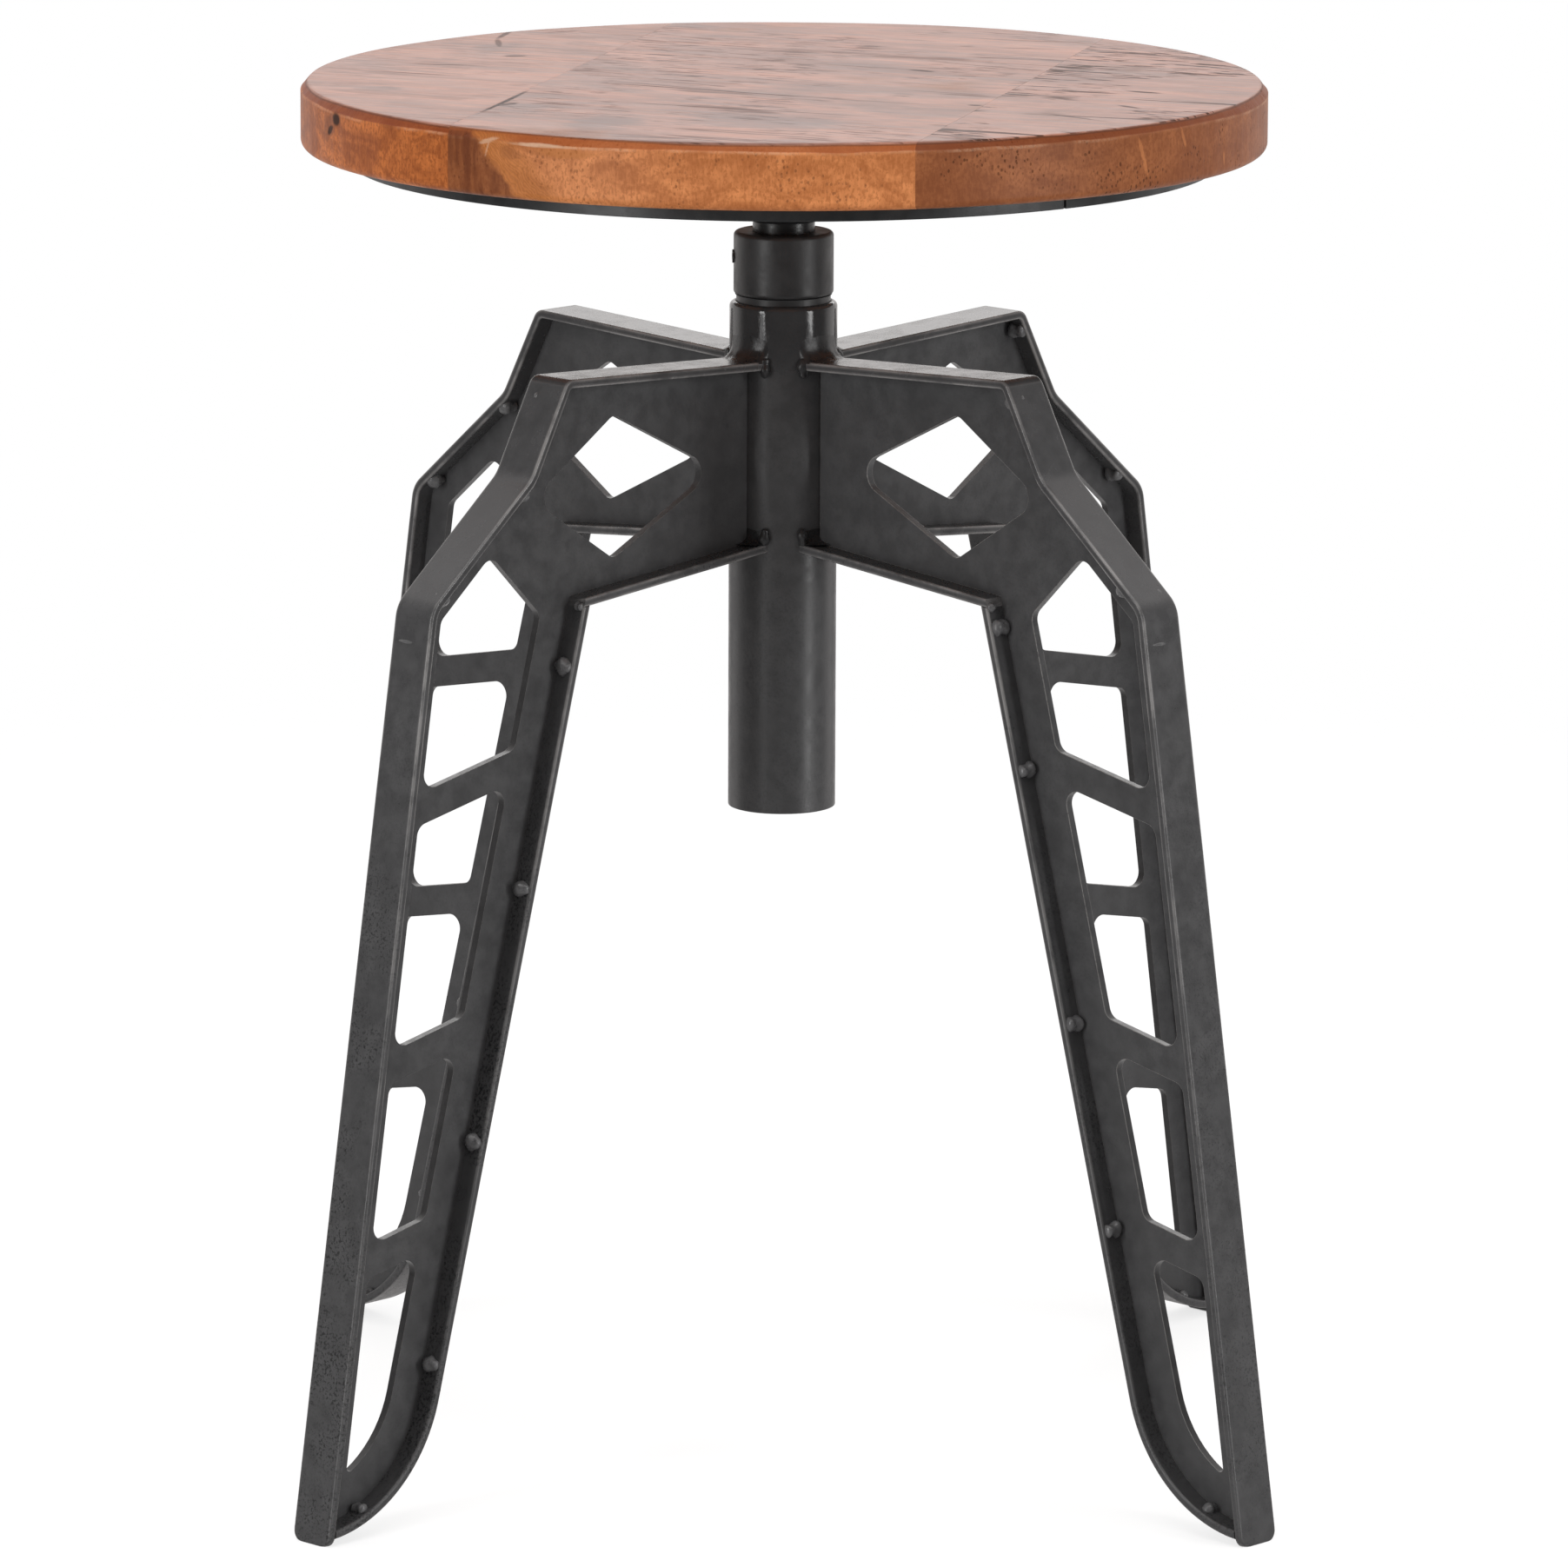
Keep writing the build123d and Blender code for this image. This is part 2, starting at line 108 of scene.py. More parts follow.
class StoolLegSettings(bpy.types.PropertyGroup):
    """Lines that the flat bars of a leg follow."""

    arm_top: length("Arm top", "Height of the upper rail at the hub", 0.407)
    arm_bottom: length("Arm bottom", "Height of the lower rail at the hub", 0.338)
    elbow: place("Elbow", "Upper corner of the upper rail", (0.121, 0.4125))
    bend: place("Bend", "Hollow corner of the upper rail", (0.1393, 0.3785))
    shoulder: place("Shoulder", "Outer corner of the upper rail", (0.189, 0.337))
    knee: place("Knee", "Corner between the lower rail and the inner bar", (0.1095, 0.3283))
    elbow_round: length("Elbow round", "Outer radius of the elbow", 5 * MM)
    bend_round: length("Bend round", "Radius of the bend", 14 * MM)
    shoulder_round: length("Shoulder round", "Outer radius of the shoulder", 12 * MM)
    shoulder_weld: length("Shoulder weld", "Distance of the butt weld below the shoulder", 13 * MM)
    toe_radius: length("Toe radius", "Outer radius of the rolled toe", 58 * MM)
    toe_lift: length("Toe lift", "Height of the toe above the floor", 2.5 * MM)
    bar_thickness: length("Bar thickness", "Thickness of the flat bar", 3.2 * MM)
    edge_round: length("Edge round", "Radius of the flat bar's long edges", 0.9 * MM)
    foot_round: length("Foot round", "Radius of the corners at the foot of the outer bar", 4.0 * MM)
    web_ease: length("Web ease", "Width of the softened edges of the web plates", 0.45 * MM)
    tack_length: length("Tack length", "Length of a tack weld", 7.2 * MM)
    tack_radius: length("Tack radius", "Radius of a tack weld", 2.9 * MM)


class StoolSeatSettings(bpy.types.PropertyGroup):
    """Shape of the plank seat and its frame."""

    left_joint: length("Left joint", "Distance of the left joint from the seat's middle", 83.5 * MM)
    right_joint: length("Right joint", "Distance of the right joint from the seat's middle", 86.9 * MM)
    top_round: length("Top round", "Drop of the worn top edge", 3.3 * MM)
    top_inset: length("Top inset", "How far the worn top edge reaches in", 2.7 * MM)
    bottom_round: length("Bottom round", "Radius of the lower edge", 3.0 * MM)
    joint_groove: length("Joint groove", "Depth of the groove between boards", 0.04 * MM)
    waviness: length("Waviness", "Unevenness of the planed top", 0.22 * MM)
    board_angle: angular("Board angle", "Direction of the boards", 30)
    thread_depth: length("Thread depth", "Depth of the spindle's thread", 2.2 * MM)
    screw_lead: length("Screw lead", "Rise of the screw in one turn", 6 * MM)


class StoolFinishSettings(bpy.types.PropertyGroup):
    """Colours of the finishes."""

    paint: colour("Paint", "Gunmetal paint of the legs", (0.071, 0.071, 0.073))
    paint_dark: colour("Dark paint", "Speckles and dust shadows in the paint", (0.013, 0.013, 0.014))
    # The rubbed paint is also a painted highlight along the bars' edges
    rubbed_edge_and_highlight: colour("Rubbed paint", "Paint rubbed thin along the edges of the bars", (0.30, 0.29, 0.285))
    # A painted highlight on the webs' cut edges, set as a lighter paint
    cut_edge_highlight: colour("Cut edges", "Paint worn thin on the cut edges of the webs", (0.19, 0.185, 0.18))
    # Darker than the legs' paint: painted shade on the ring and cross bars under the seat
    ring: colour("Ring paint", "Paint of the seat ring and the cross bars", (0.024, 0.027, 0.029))
    nut: colour("Nut paint", "Dull black paint of the nut", (0.030, 0.030, 0.031))
    boss: colour("Boss paint", "Black of the boss and the spindle's shoulder", (0.008, 0.008, 0.0085))
    weld: colour("Weld", "Painted weld beads", (0.135, 0.135, 0.138))
    steel: colour("Bright steel", "Machined thread and washer", (0.42, 0.41, 0.40))
    oxide: colour("Black oxide", "Screws and bolts", (0.045, 0.045, 0.048))
    left_light: colour("Left board light", "Light wood of the left board", (0.68, 0.205, 0.049))
    left_dark: colour("Left board dark", "Dark wood of the left board", (0.27, 0.064, 0.013))
    middle_light: colour("Middle board light", "Light wood of the middle board", (0.79, 0.300, 0.107))
    middle_dark: colour("Middle board dark", "Dark wood of the middle board", (0.43, 0.136, 0.039))
    right_light: colour("Right board light", "Light wood of the right board", (0.41, 0.142, 0.050))
    right_dark: colour("Right board dark", "Dark wood of the right board", (0.24, 0.071, 0.023))
    top_light: colour("Top light", "Light bands on the tops of the boards", (0.57, 0.252, 0.168))
    top_dark: colour("Top dark", "Dark bands on the tops of the boards", (0.20, 0.078, 0.050))
    saw_mark: colour("Saw marks", "Dark saw marks, cracks and knots", (0.046, 0.019, 0.012))
    stain: colour("Stain", "Grey stain on the tops of the boards", (0.105, 0.054, 0.044))
    knot: colour("Knot", "Dark reddish wood round a knot", (0.150, 0.037, 0.011))
    golden: colour("Golden figure", "Golden growth bands beside the knot", (0.55, 0.190, 0.042))
    # Also the colour of the painted highlights along the worn edges of the boards
    bare_wood_and_highlight: colour("Bare wood", "Pale wood where an edge is chipped or rubbed", (0.76, 0.50, 0.34))


class StoolStageSettings(bpy.types.PropertyGroup):
    """Camera, floor and light."""

    distance: length("Distance", "Camera distance from the target", 3.735)
    aim: place("Aim", "Aim to the right of the axis, and its height", (0.0009, 0.2457))
    elevation: angular("Elevation", "Camera height above the horizon", 11.36)
    bearing: angular("Bearing", "Turn of the camera about the stool", -45.808)
    roll: angular("Roll", "Roll of the camera", 0.23)
    lens: focal_length("Lens", "Focal length", 229.77)
    floor: colour("Floor", "Pale floor", (0.93, 0.93, 0.93))
    floor_lift: factor("Floor lift", "What lifts the lit floor to white", 0.48)
    room_tint: colour("Room tint", "Colour of the light from all round", (1.0, 0.965, 0.95))
    room: factor("Room light", "Level of the light from all round", 0.38)
    dark_side: factor("Dark side", "Level of the room behind the camera", 0.08)


def legs():
    """Settings of the legs."""
    return bpy.context.scene.stool_legs


def seat():
    """Settings of the seat."""
    return bpy.context.scene.stool_seat


def finish():
    """Settings of the finishes."""
    return bpy.context.scene.stool_finish


# Shapes


def left_of(ways):
    """Directions turned a quarter turn anticlockwise."""
    return np.stack([-ways[..., 1], ways[..., 0]], axis=-1)


def unit(way):
    """A direction of length one."""
    way = np.asarray(way, float)
    return way / np.linalg.norm(way)


def swung(x, y, angle):
    """Places of a plane turned anticlockwise about its origin."""
    return np.stack([x * np.cos(angle) - y * np.sin(angle), x * np.sin(angle) + y * np.cos(angle)], axis=-1)


def rounded(corners, radii, closed=False, steps=6, lead=0.8 * MM):
    """Straight runs with their corners rounded: points, and left-hand normals.

    The arc at a corner starts radius * tan(half the turn) before it. A point of the arc is the arc's
    centre less the radius times the left-hand normal there. Each arc has a point a little before and
    after it, so that the flats beside it stay flat.
    """
    corners = np.asarray(corners, float)
    nexts = np.roll(corners, -1, axis=0) if closed else corners[1:]
    runs = nexts - corners[: len(nexts)]
    ways = runs / np.linalg.norm(runs, axis=1, keepdims=True)
    points = [] if closed else [corners[:1]]
    normals = [] if closed else [left_of(ways[:1])]
    bends = range(len(corners)) if closed else range(1, len(corners) - 1)
    for bend, radius in zip(bends, radii):
        before = ways[bend - 1]
        after = ways[bend]
        turn = atan2(before[0] * after[1] - before[1] * after[0], before @ after)
        along = swung(*before, np.linspace(0, turn, steps + 1))
        signed = radius * np.sign(turn)
        centre = corners[bend] - before * (radius * tan(abs(turn) / 2)) + signed * left_of(before)
        arc = centre - signed * left_of(along)
        points += [arc[:1] - before * lead, arc, arc[-1:] + after * lead]
        normals += [left_of(along[:1]), left_of(along), left_of(along[-1:])]
    if not closed:
        points.append(corners[-1:])
        normals.append(left_of(ways[-1:]))
    return np.concatenate(points), np.concatenate(normals)


def flat_section(width, thickness, radius):
    """Section of a flat bar: a rectangle with rounded edges, across from its middle and in from its face."""
    half = width / 2
    corners = [(-half, 0), (half, 0), (half, thickness), (-half, thickness)]
    lead = min(0.6 * MM, thickness / 2 - radius - 0.05 * MM)
    return rounded(corners, [radius] * 4, closed=True, steps=4, lead=lead)[0]


# How far the paint is rubbed and lit by a painted highlight at each point of one corner of a flat bar's
# section
CORNER_RUB_AND_HIGHLIGHT = (0.0, 0.25, 0.9, 1.0, 0.9, 0.25, 0.0)


def on_leg(leg, flat, across):
    """Points of a leg: out along its direction, up, and sideways out of its plane."""
    out_x, out_y = LEG_WAYS[leg]
    reach, height = flat[..., 0], flat[..., 1]
    x = reach * out_x - across * out_y
    y = reach * out_y + across * out_x
    return np.stack([x, y, height + 0 * across], axis=-1)


def carried(points, normals, section, taper=1.0, start_cut=None, end_cut=None):
    """A section carried along a line of the leg's plane.

    A point is the line's point plus the section's depth times the inward normal. The first and last
    ring are slid along the line until they lie on the cut, which is a point and a normal.
    """
    across, depth = section.T
    flat = points[:, None, :] + depth[None, :, None] * normals[:, None, :]
    for ring, cut in ((0, start_cut), (-1, end_cut)):
        if cut is not None:
            way = np.array([normals[ring][1], -normals[ring][0]])
            slide = ((cut[0] - flat[ring]) @ cut[1]) / (way @ cut[1])
            flat[ring] = flat[ring] + slide[:, None] * way
    sideways = np.broadcast_to(across[None, :], flat.shape[:2]) * taper
    return flat, sideways


def turned(profile, steps=96):
    """A turned surface: each point of the profile, radius and height, carried once round the axis."""
    angle = np.linspace(0, 2 * pi, steps, endpoint=False)[:, None]
    radius, height = np.asarray(profile, float).T
    return np.stack([radius * np.cos(angle), radius * np.sin(angle), height + 0 * angle], axis=-1)


def grid_shape(grid, close_u=False, close_v=False, caps=False):
    """Vertices and faces of a grid of points; each cell is a quad, and the ends of a tube may be capped."""
    rows, columns = grid.shape[:2]
    index = np.arange(rows * columns).reshape(rows, columns)
    below = np.roll(index, -1, axis=0) if close_u else index[1:]
    here = index if close_u else index[:-1]
    right = np.roll(here, -1, axis=1) if close_v else here[:, 1:]
    below_right = np.roll(below, -1, axis=1) if close_v else below[:, 1:]
    width = right.shape[1]
    quads = np.stack([here[:, :width], right, below_right, below[:, :width]], axis=-1).reshape(-1, 4)
    faces = quads.tolist()
    if caps:
        faces += [index[0].tolist(), index[-1].tolist()]
    return grid.reshape(-1, 3), faces


def joined(shapes):
    """Several shapes as one list of vertices and faces."""
    vertices, faces, start = [], [], 0
    for points, cells in shapes:
        vertices.append(points)
        faces += [[start + corner for corner in cell] for cell in cells]
        start += len(points)
    return np.concatenate(vertices), faces


def make_piece(name, shapes, material, body, nodes=(), sharp=40, rub=None):
    """An object made of shapes: doubles merged, faces turned outwards, smooth but for its sharp edges.

    Where rub is given, each vertex keeps how far its paint is rubbed.
    """
    vertices, faces = joined(shapes)
    mesh = bpy.data.meshes.new(name)
    mesh.from_pydata(vertices.tolist(), [], faces)
    if rub is not None:
        mesh.attributes.new("rub", "FLOAT", "POINT").data.foreach_set("value", rub)
    shell = bmesh.new()
    shell.from_mesh(mesh)
    bmesh.ops.remove_doubles(shell, verts=shell.verts, dist=MERGE)
    bmesh.ops.dissolve_degenerate(shell, edges=shell.edges, dist=MERGE / 2)
    bmesh.ops.recalc_face_normals(shell, faces=shell.faces)
    shell.to_mesh(mesh)
    shell.free()
    return settle(name, mesh, material, body, nodes, sharp)


def settle(name, mesh, material, body, nodes, sharp):
    """Links a finished mesh as a piece that rides on a body and stands for its solids."""
    mesh.shade_smooth()
    mesh.set_sharp_from_angle(angle=radians(sharp))
    mesh.materials.clear()
    mesh.materials.append(material)
    piece = bpy.data.objects.new(name, mesh)
    bpy.context.scene.collection.objects.link(piece)
    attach(piece, body)
    if nodes:
        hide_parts(*nodes)
    return piece


def turned_piece(node, corners, rounds, material, body, steps=6, lead=0.2 * MM):
    """A turned piece that stands for a node: a section with rounded corners, carried round the axis."""
    profile = rounded(corners, rounds, closed=True, steps=steps, lead=lead)[0]
    make_piece(f"{node}_turned", [grid_shape(turned(profile), True, True)], material, body, [node])


def dress(node, material):
    """Gives a solid that shows as it is its material."""
    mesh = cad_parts[node].data
    mesh.materials.clear()
    mesh.materials.append(material)


# Leg lines


def leg_lines():
    """Points and directions of a leg's bars, worked out from its corners."""
    size = legs()
    line = SimpleNamespace()
    foot_low, foot_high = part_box("right_outer_bar")
    line.hub_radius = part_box("hub_tube")[1].x
    line.bar_width = foot_high.y - foot_low.y
    line.web_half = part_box("right_web_plate")[1].y
    thick = size.bar_thickness
    line.elbow, line.bend, line.shoulder, line.knee = (
        np.array(point) for point in (size.elbow, size.bend, size.shoulder, size.knee)
    )
    line.arm_top = np.array([0, size.arm_top])
    line.arm_bottom = np.array([0, size.arm_bottom])
    line.foot = np.array([foot_high.x, 0])
    line.toe_centre = np.array([line.foot[0], size.toe_lift + size.toe_radius])
    line.outer_down = unit(line.foot - line.shoulder)
    line.outer_in = -left_of(line.outer_down)
    line.slope_down = unit(line.shoulder - line.bend)
    line.slope_in = -left_of(line.slope_down)
    line.elbow_down = unit(line.bend - line.elbow)
    line.elbow_in = -left_of(line.elbow_down)
    line.lower_out = unit(line.knee - line.arm_bottom)
    line.lower_in = left_of(line.lower_out)
    line.seam = line.shoulder + line.outer_down * size.shoulder_weld
    to_toe = line.toe_centre - line.knee
    far = np.linalg.norm(to_toe)
    line.inner_run = sqrt(far**2 - size.toe_radius**2)
    line.inner_down = swung(*(to_toe / far), -np.arcsin(size.toe_radius / far))
    line.inner_in = left_of(line.inner_down)
    line.toe_start = line.knee + line.inner_down * line.inner_run
    line.outer_face = line.shoulder + line.outer_in * thick
    line.inner_face = line.knee + line.inner_in * thick
    line.hub_end = sqrt(line.hub_radius**2 - (line.bar_width / 2) ** 2)
    line.section = flat_section(line.bar_width, thick, size.edge_round)
    return line


def upper_rail(line):
    """The bent rail: from the butt weld over shoulder, bend and elbow to the hub."""
    size = legs()
    slope = (line.elbow - line.arm_top) / line.elbow[0]
    at_hub = line.arm_top + slope * line.hub_end
    corners = [line.seam, line.shoulder, line.bend, line.elbow, at_hub]
    radii = [size.shoulder_round, size.bend_round, size.elbow_round]
    points, normals = rounded(corners, radii, steps=8, lead=1.5 * MM)
    return carried(points, normals, line.section)


def outer_bar(line):
    """The straight outer bar, from the floor up to the butt weld, its foot rounded at both corners.

    Near the foot its half width is drawn in by r less the root of r squared less s squared, where r is the
    foot's radius and s is r less the distance from the end.
    """
    size = legs()
    rise = np.linspace(0, pi / 2, 7)
    from_end = np.concatenate([
        size.foot_round * (1 - np.cos(rise)),
        [size.foot_round * 1.5, np.linalg.norm(line.foot - line.seam)],
    ])
    up = -line.outer_down
    points = line.foot + from_end[:, None] * up
    normals = np.broadcast_to(left_of(up), points.shape)
    short = np.clip(size.foot_round - from_end, 0, None)
    drawn_in = size.foot_round - np.sqrt(size.foot_round**2 - short**2)
    taper = 1 - drawn_in[:, None] / (line.bar_width / 2)
    floor = (np.zeros(2), np.array([0.0, 1.0]))
    return carried(points, normals, line.section, taper=taper, start_cut=floor)


def lower_rail(line):
    """The straight lower rail, from the hub to the inner bar's inner face."""
    at_hub = line.arm_bottom + line.lower_out * (line.hub_end / line.lower_out[0])
    corners = np.array([at_hub, line.knee])
    normals = np.broadcast_to(line.lower_in, corners.shape)
    return carried(corners, normals, line.section, end_cut=(line.inner_face, line.inner_in))


def inner_bar(line):
    """The inner bar: straight from the knee, then rolled round the toe's centre to the outer bar.

    A point of the roll is the toe's centre plus its radius times the cosine and sine of an even angle.
    """
    size = legs()
    first = line.toe_start - line.toe_centre
    start = atan2(first[1], first[0])
    gap = (line.outer_face - line.toe_centre) @ line.outer_in
    last = atan2(-line.outer_in[1], -line.outer_in[0]) - np.arccos(-gap / size.toe_radius)
    stop = last % (2 * pi)
    angle = np.linspace(start, stop - 2 * pi if start < 0 else stop, 28)
    spokes = np.stack([np.cos(angle), np.sin(angle)], axis=-1)
    straight = np.stack([line.knee, line.toe_start - line.inner_down * 2 * MM])
    points = np.concatenate([straight, line.toe_centre + size.toe_radius * spokes])
    normals = np.concatenate([np.broadcast_to(line.inner_in, straight.shape), -spokes])
    return carried(
        points, normals, line.section,
        start_cut=(line.arm_bottom, line.lower_in), end_cut=(line.outer_face, line.outer_in),
    )


# Welds: depth of a tack in the web, and the toe's tack, its place round the toe and share of a full tack
TACK_SINK = 0.4 * MM
TOE_TACK_TURN = radians(-112)
TOE_TACK_SHARE = 0.8

# Tack at the knee: drop below the knee, start and end in from the bar's edge, and radius
KNEE_TACK = (1.0 * MM, 4.5 * MM, 0.6 * MM, 1.6 * MM)

# Ground butt weld below the shoulder: depth, inset from the bar's edges, and radius
SEAM_BEAD = (0.75 * MM, 0.3 * MM, 0.83 * MM)

# Fillets at the hub, above and below: sink into the rail, rise up the tube and run along the rail
TOP_FILLET = (0.2 * MM, 9 * MM, 10 * MM)
LOW_FILLET = (1.4 * MM, 5 * MM, 6 * MM)

# Where a fillet's root lies in the tube and in the rail
FILLET_ROOT = (-1.2 * MM, -0.8 * MM)

# Lumps at the fillets' corners: inset from the bar's edge, stand-off from the tube, rise and lean
LUMP_INSET = 0.4 * MM
LUMP_STAND_OFF = 0.9 * MM
LUMP_RISE = 1.5 * MM
LUMP_LEAN = 0.6 * MM

# Powers of a bead's superellipse and of a fillet's hollow face
BEAD_POWER = 2.6
HOLLOW_POWER = 2.1


def bead(start, end, radius, seed, rings=18, sides=20):
    """A lump of weld: a tube from start to end whose radius swells and dips, closed to a pole at each end.

    The radius follows a superellipse along the bead, times one plus a few sines of the share and angle.
    """
    start, end = np.asarray(start, float), np.asarray(end, float)
    way = unit(end - start)
    side = unit(np.cross(way, (0.31, 0.52, 0.79)))
    up = np.cross(way, side)
    share = ((1 - np.cos(np.linspace(0, pi, rings))) / 2)[:, None]
    angle = np.linspace(0, 2 * pi, sides, endpoint=False)[None, :]
    swell = np.clip(1 - np.abs(2 * share - 1) ** BEAD_POWER, 0, None) ** (1 / BEAD_POWER)
    lumps = 1 + 0.16 * np.sin(9.0 * share + 2.1 * seed) + 0.09 * np.sin(2 * angle + 5 * share + seed)
    size = radius * swell * (lumps + 0.05 * np.sin(3 * angle - 11 * share + 1.7 * seed))
    centre = start + share[..., None] * (end - start)
    ring = np.cos(angle)[..., None] * side + np.sin(angle)[..., None] * up
    return grid_shape(centre + size[..., None] * ring, close_v=True)


def cross_bead(leg, spot, near, far, radius, seed, rings=18):
    """A bead that lies across a leg at one spot of its plane, from near to far out of that plane."""
    ends = [on_leg(leg, spot, np.array(across)) for across in (near, far)]
    return bead(*ends, radius, seed, rings)


def leg_tacks(leg, line):
    """Tack welds on the ledges between a leg's web and its bars."""
    size = legs()
    thick = size.bar_thickness
    runs = (
        (INNER_TACKS, line.inner_face, line.inner_down, line.inner_run),
        (SLOPE_TACKS, line.bend + line.slope_in * thick, line.slope_down,
         np.linalg.norm(line.shoulder - line.bend)),
        (ELBOW_TACKS, line.elbow + line.elbow_in * thick, line.elbow_down,
         np.linalg.norm(line.bend - line.elbow)),
    )
    shapes = []
    for tacks, start, way, run in runs:
        for side in (1, -1):
            for share in tacks[side]:
                spot = start + way * (share * run)
                near = side * (line.web_half - TACK_SINK)
                far = side * (line.web_half + size.tack_length)
                seed = 7 * share + side + len(shapes)
                shapes.append(cross_bead(leg, spot, near, far, size.tack_radius, seed))
    return shapes


def hub_fillet(leg, line, height, sink, rise, run, seed):
    """A weld fillet between a rail and the hub tube, as wide as the rail.

    The section is a triangle with a hollow face: it runs up the tube by rise and along the rail by run.
    It is carried across the rail on the tube's round, and ripples a little.
    """
    share = np.linspace(0, 1, 12)
    hollow = np.stack([run * share**HOLLOW_POWER, rise * (1 - share) ** HOLLOW_POWER], axis=-1)
    section = np.concatenate([hollow, [FILLET_ROOT]])
    across = np.linspace(-0.5, 0.5, 25) * line.bar_width
    ends = np.clip((line.bar_width / 2 - np.abs(across)) / (2.5 * MM), 0, 1)
    swell = 0.60 + 0.40 * np.sqrt(ends * (2 - ends))
    waves = 1 + 0.05 * np.sin(across / (2.6 * MM) + seed) + 0.02 * np.sin(across / (0.9 * MM) + 3 * seed)
    ripple = swell * waves
    base = np.sqrt(line.hub_radius**2 - across**2)
    reach = base[:, None] + section[None, :, 0] * ripple[:, None]
    level = height - sink + section[None, :, 1] * ripple[:, None]
    flat = np.stack([reach, level], axis=-1)
    sideways = np.broadcast_to(across[:, None], reach.shape)
    return grid_shape(on_leg(leg, flat, sideways), close_v=True, caps=True)


def hub_welds(leg, line):
    """Fillets above the upper rail and inside the lower rail, with a lump at each corner."""
    top = line.arm_top[1] + (line.elbow - line.arm_top)[1] * line.hub_end / line.elbow[0]
    low = line.arm_bottom[1] + legs().bar_thickness
    shapes = [
        hub_fillet(leg, line, top, *TOP_FILLET, seed=1.0 + top),
        hub_fillet(leg, line, low, *LOW_FILLET, seed=2.0),
    ]
    lumps = ((top, 6 * MM, 2.0 * MM), (low + 3 * MM, 5 * MM, 1.8 * MM))
    for side in (1, -1):
        across = np.array(side * (line.bar_width / 2 - LUMP_INSET))
        reach = sqrt(line.hub_radius**2 - float(across) ** 2) + LUMP_STAND_OFF
        for number, (height, drop, radius) in enumerate(lumps):
            high = on_leg(leg, np.array([reach, height + LUMP_RISE]), across)
            deep = on_leg(leg, np.array([reach + LUMP_LEAN, height - drop]), across)
            shapes.append(bead(high, deep, radius, seed=3.1 * number + side))
    return shapes


def toe_welds(leg, line):
    """A tack on the curved toe, one at the knee's corner and the ground butt weld below the shoulder."""
    size = legs()
    edge = line.bar_width / 2
    toe_way = np.array([cos(TOE_TACK_TURN), sin(TOE_TACK_TURN)])
    toe = line.toe_centre + toe_way * (size.toe_radius - size.bar_thickness)
    drop, start, end, radius = KNEE_TACK
    knee = line.inner_face + line.inner_down * drop
    shapes = []
    for side in (1, -1):
        near = side * (line.web_half - TACK_SINK)
        far = side * (line.web_half + size.tack_length * TOE_TACK_SHARE)
        shapes.append(cross_bead(leg, toe, near, far, size.tack_radius * TOE_TACK_SHARE, 5.0 + side))
        near = side * (edge - start)
        far = side * (edge - end)
        shapes.append(cross_bead(leg, knee, near, far, radius, 8.0 + side))
    depth, inset, radius = SEAM_BEAD
    seam = line.seam + line.outer_in * depth
    shapes.append(cross_bead(leg, seam, edge - inset, inset - edge, radius, 4.0, rings=40))
    return shapes


# Operators


class STOOL_OT_leg_bars(bpy.types.Operator):
    """Make the flat bars that edge the legs"""

    bl_idname = "stool.leg_bars"
    bl_label = "Leg bars"
    bl_options = {"REGISTER", "UNDO"}

    def execute(self, context):
        line = leg_lines()
        paint = speckled_paint()
        for leg in LEG_WAYS:
            for maker in (upper_rail, outer_bar, lower_rail, inner_bar):
                node = f"{leg}_{maker.__name__}"
                flat, across = maker(line)
                shape = grid_shape(on_leg(leg, flat, across), close_v=True, caps=True)
                # Share of rubbed paint and painted highlight at each vertex round the section's corners
                rub = np.tile(CORNER_RUB_AND_HIGHLIGHT, across.size // len(CORNER_RUB_AND_HIGHLIGHT))
                make_piece(f"{node}_bar", [shape], paint, "base", [node], 30, rub)
        return {"FINISHED"}


def eased_copy(name, node, material, body, edge=None):
    """A merged copy of a cut plate, its flats joined up and its sharp edges softened by a bevel.

    The bevel's own faces take the edge material, where one is given.
    """
    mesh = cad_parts[node].data.copy()
    plate = bmesh.new()
    plate.from_mesh(mesh)
    bmesh.ops.remove_doubles(plate, verts=plate.verts, dist=MERGE)
    bmesh.ops.dissolve_limit(
        plate, angle_limit=radians(0.5), verts=plate.verts, edges=plate.edges, delimit=set()
    )
    plate.to_mesh(mesh)
    plate.free()
    piece = settle(name, mesh, material, body, [node], sharp=30)
    ease = piece.modifiers.new("eased_edges", "BEVEL")
    ease.width = legs().web_ease
    ease.segments = 2
    ease.limit_method = "ANGLE"
    ease.angle_limit = radians(50)
    ease.harden_normals = True
    if edge:
        piece.data.materials.append(edge)
        ease.material = 1
    return piece


class STOOL_OT_leg_webs(bpy.types.Operator):
    """Soften the cut edges of the web plates"""

    bl_idname = "stool.leg_webs"
    bl_label = "Leg webs"
    bl_options = {"REGISTER", "UNDO"}

    def execute(self, context):
        for leg in LEG_WAYS:
            # The cut edges take a lighter paint: a painted highlight
            eased_copy(
                f"{leg}_web", f"{leg}_web_plate", plain_paint("plate_paint"), "base",
                plain_paint("edge_highlight_paint"),
            )
        return {"FINISHED"}


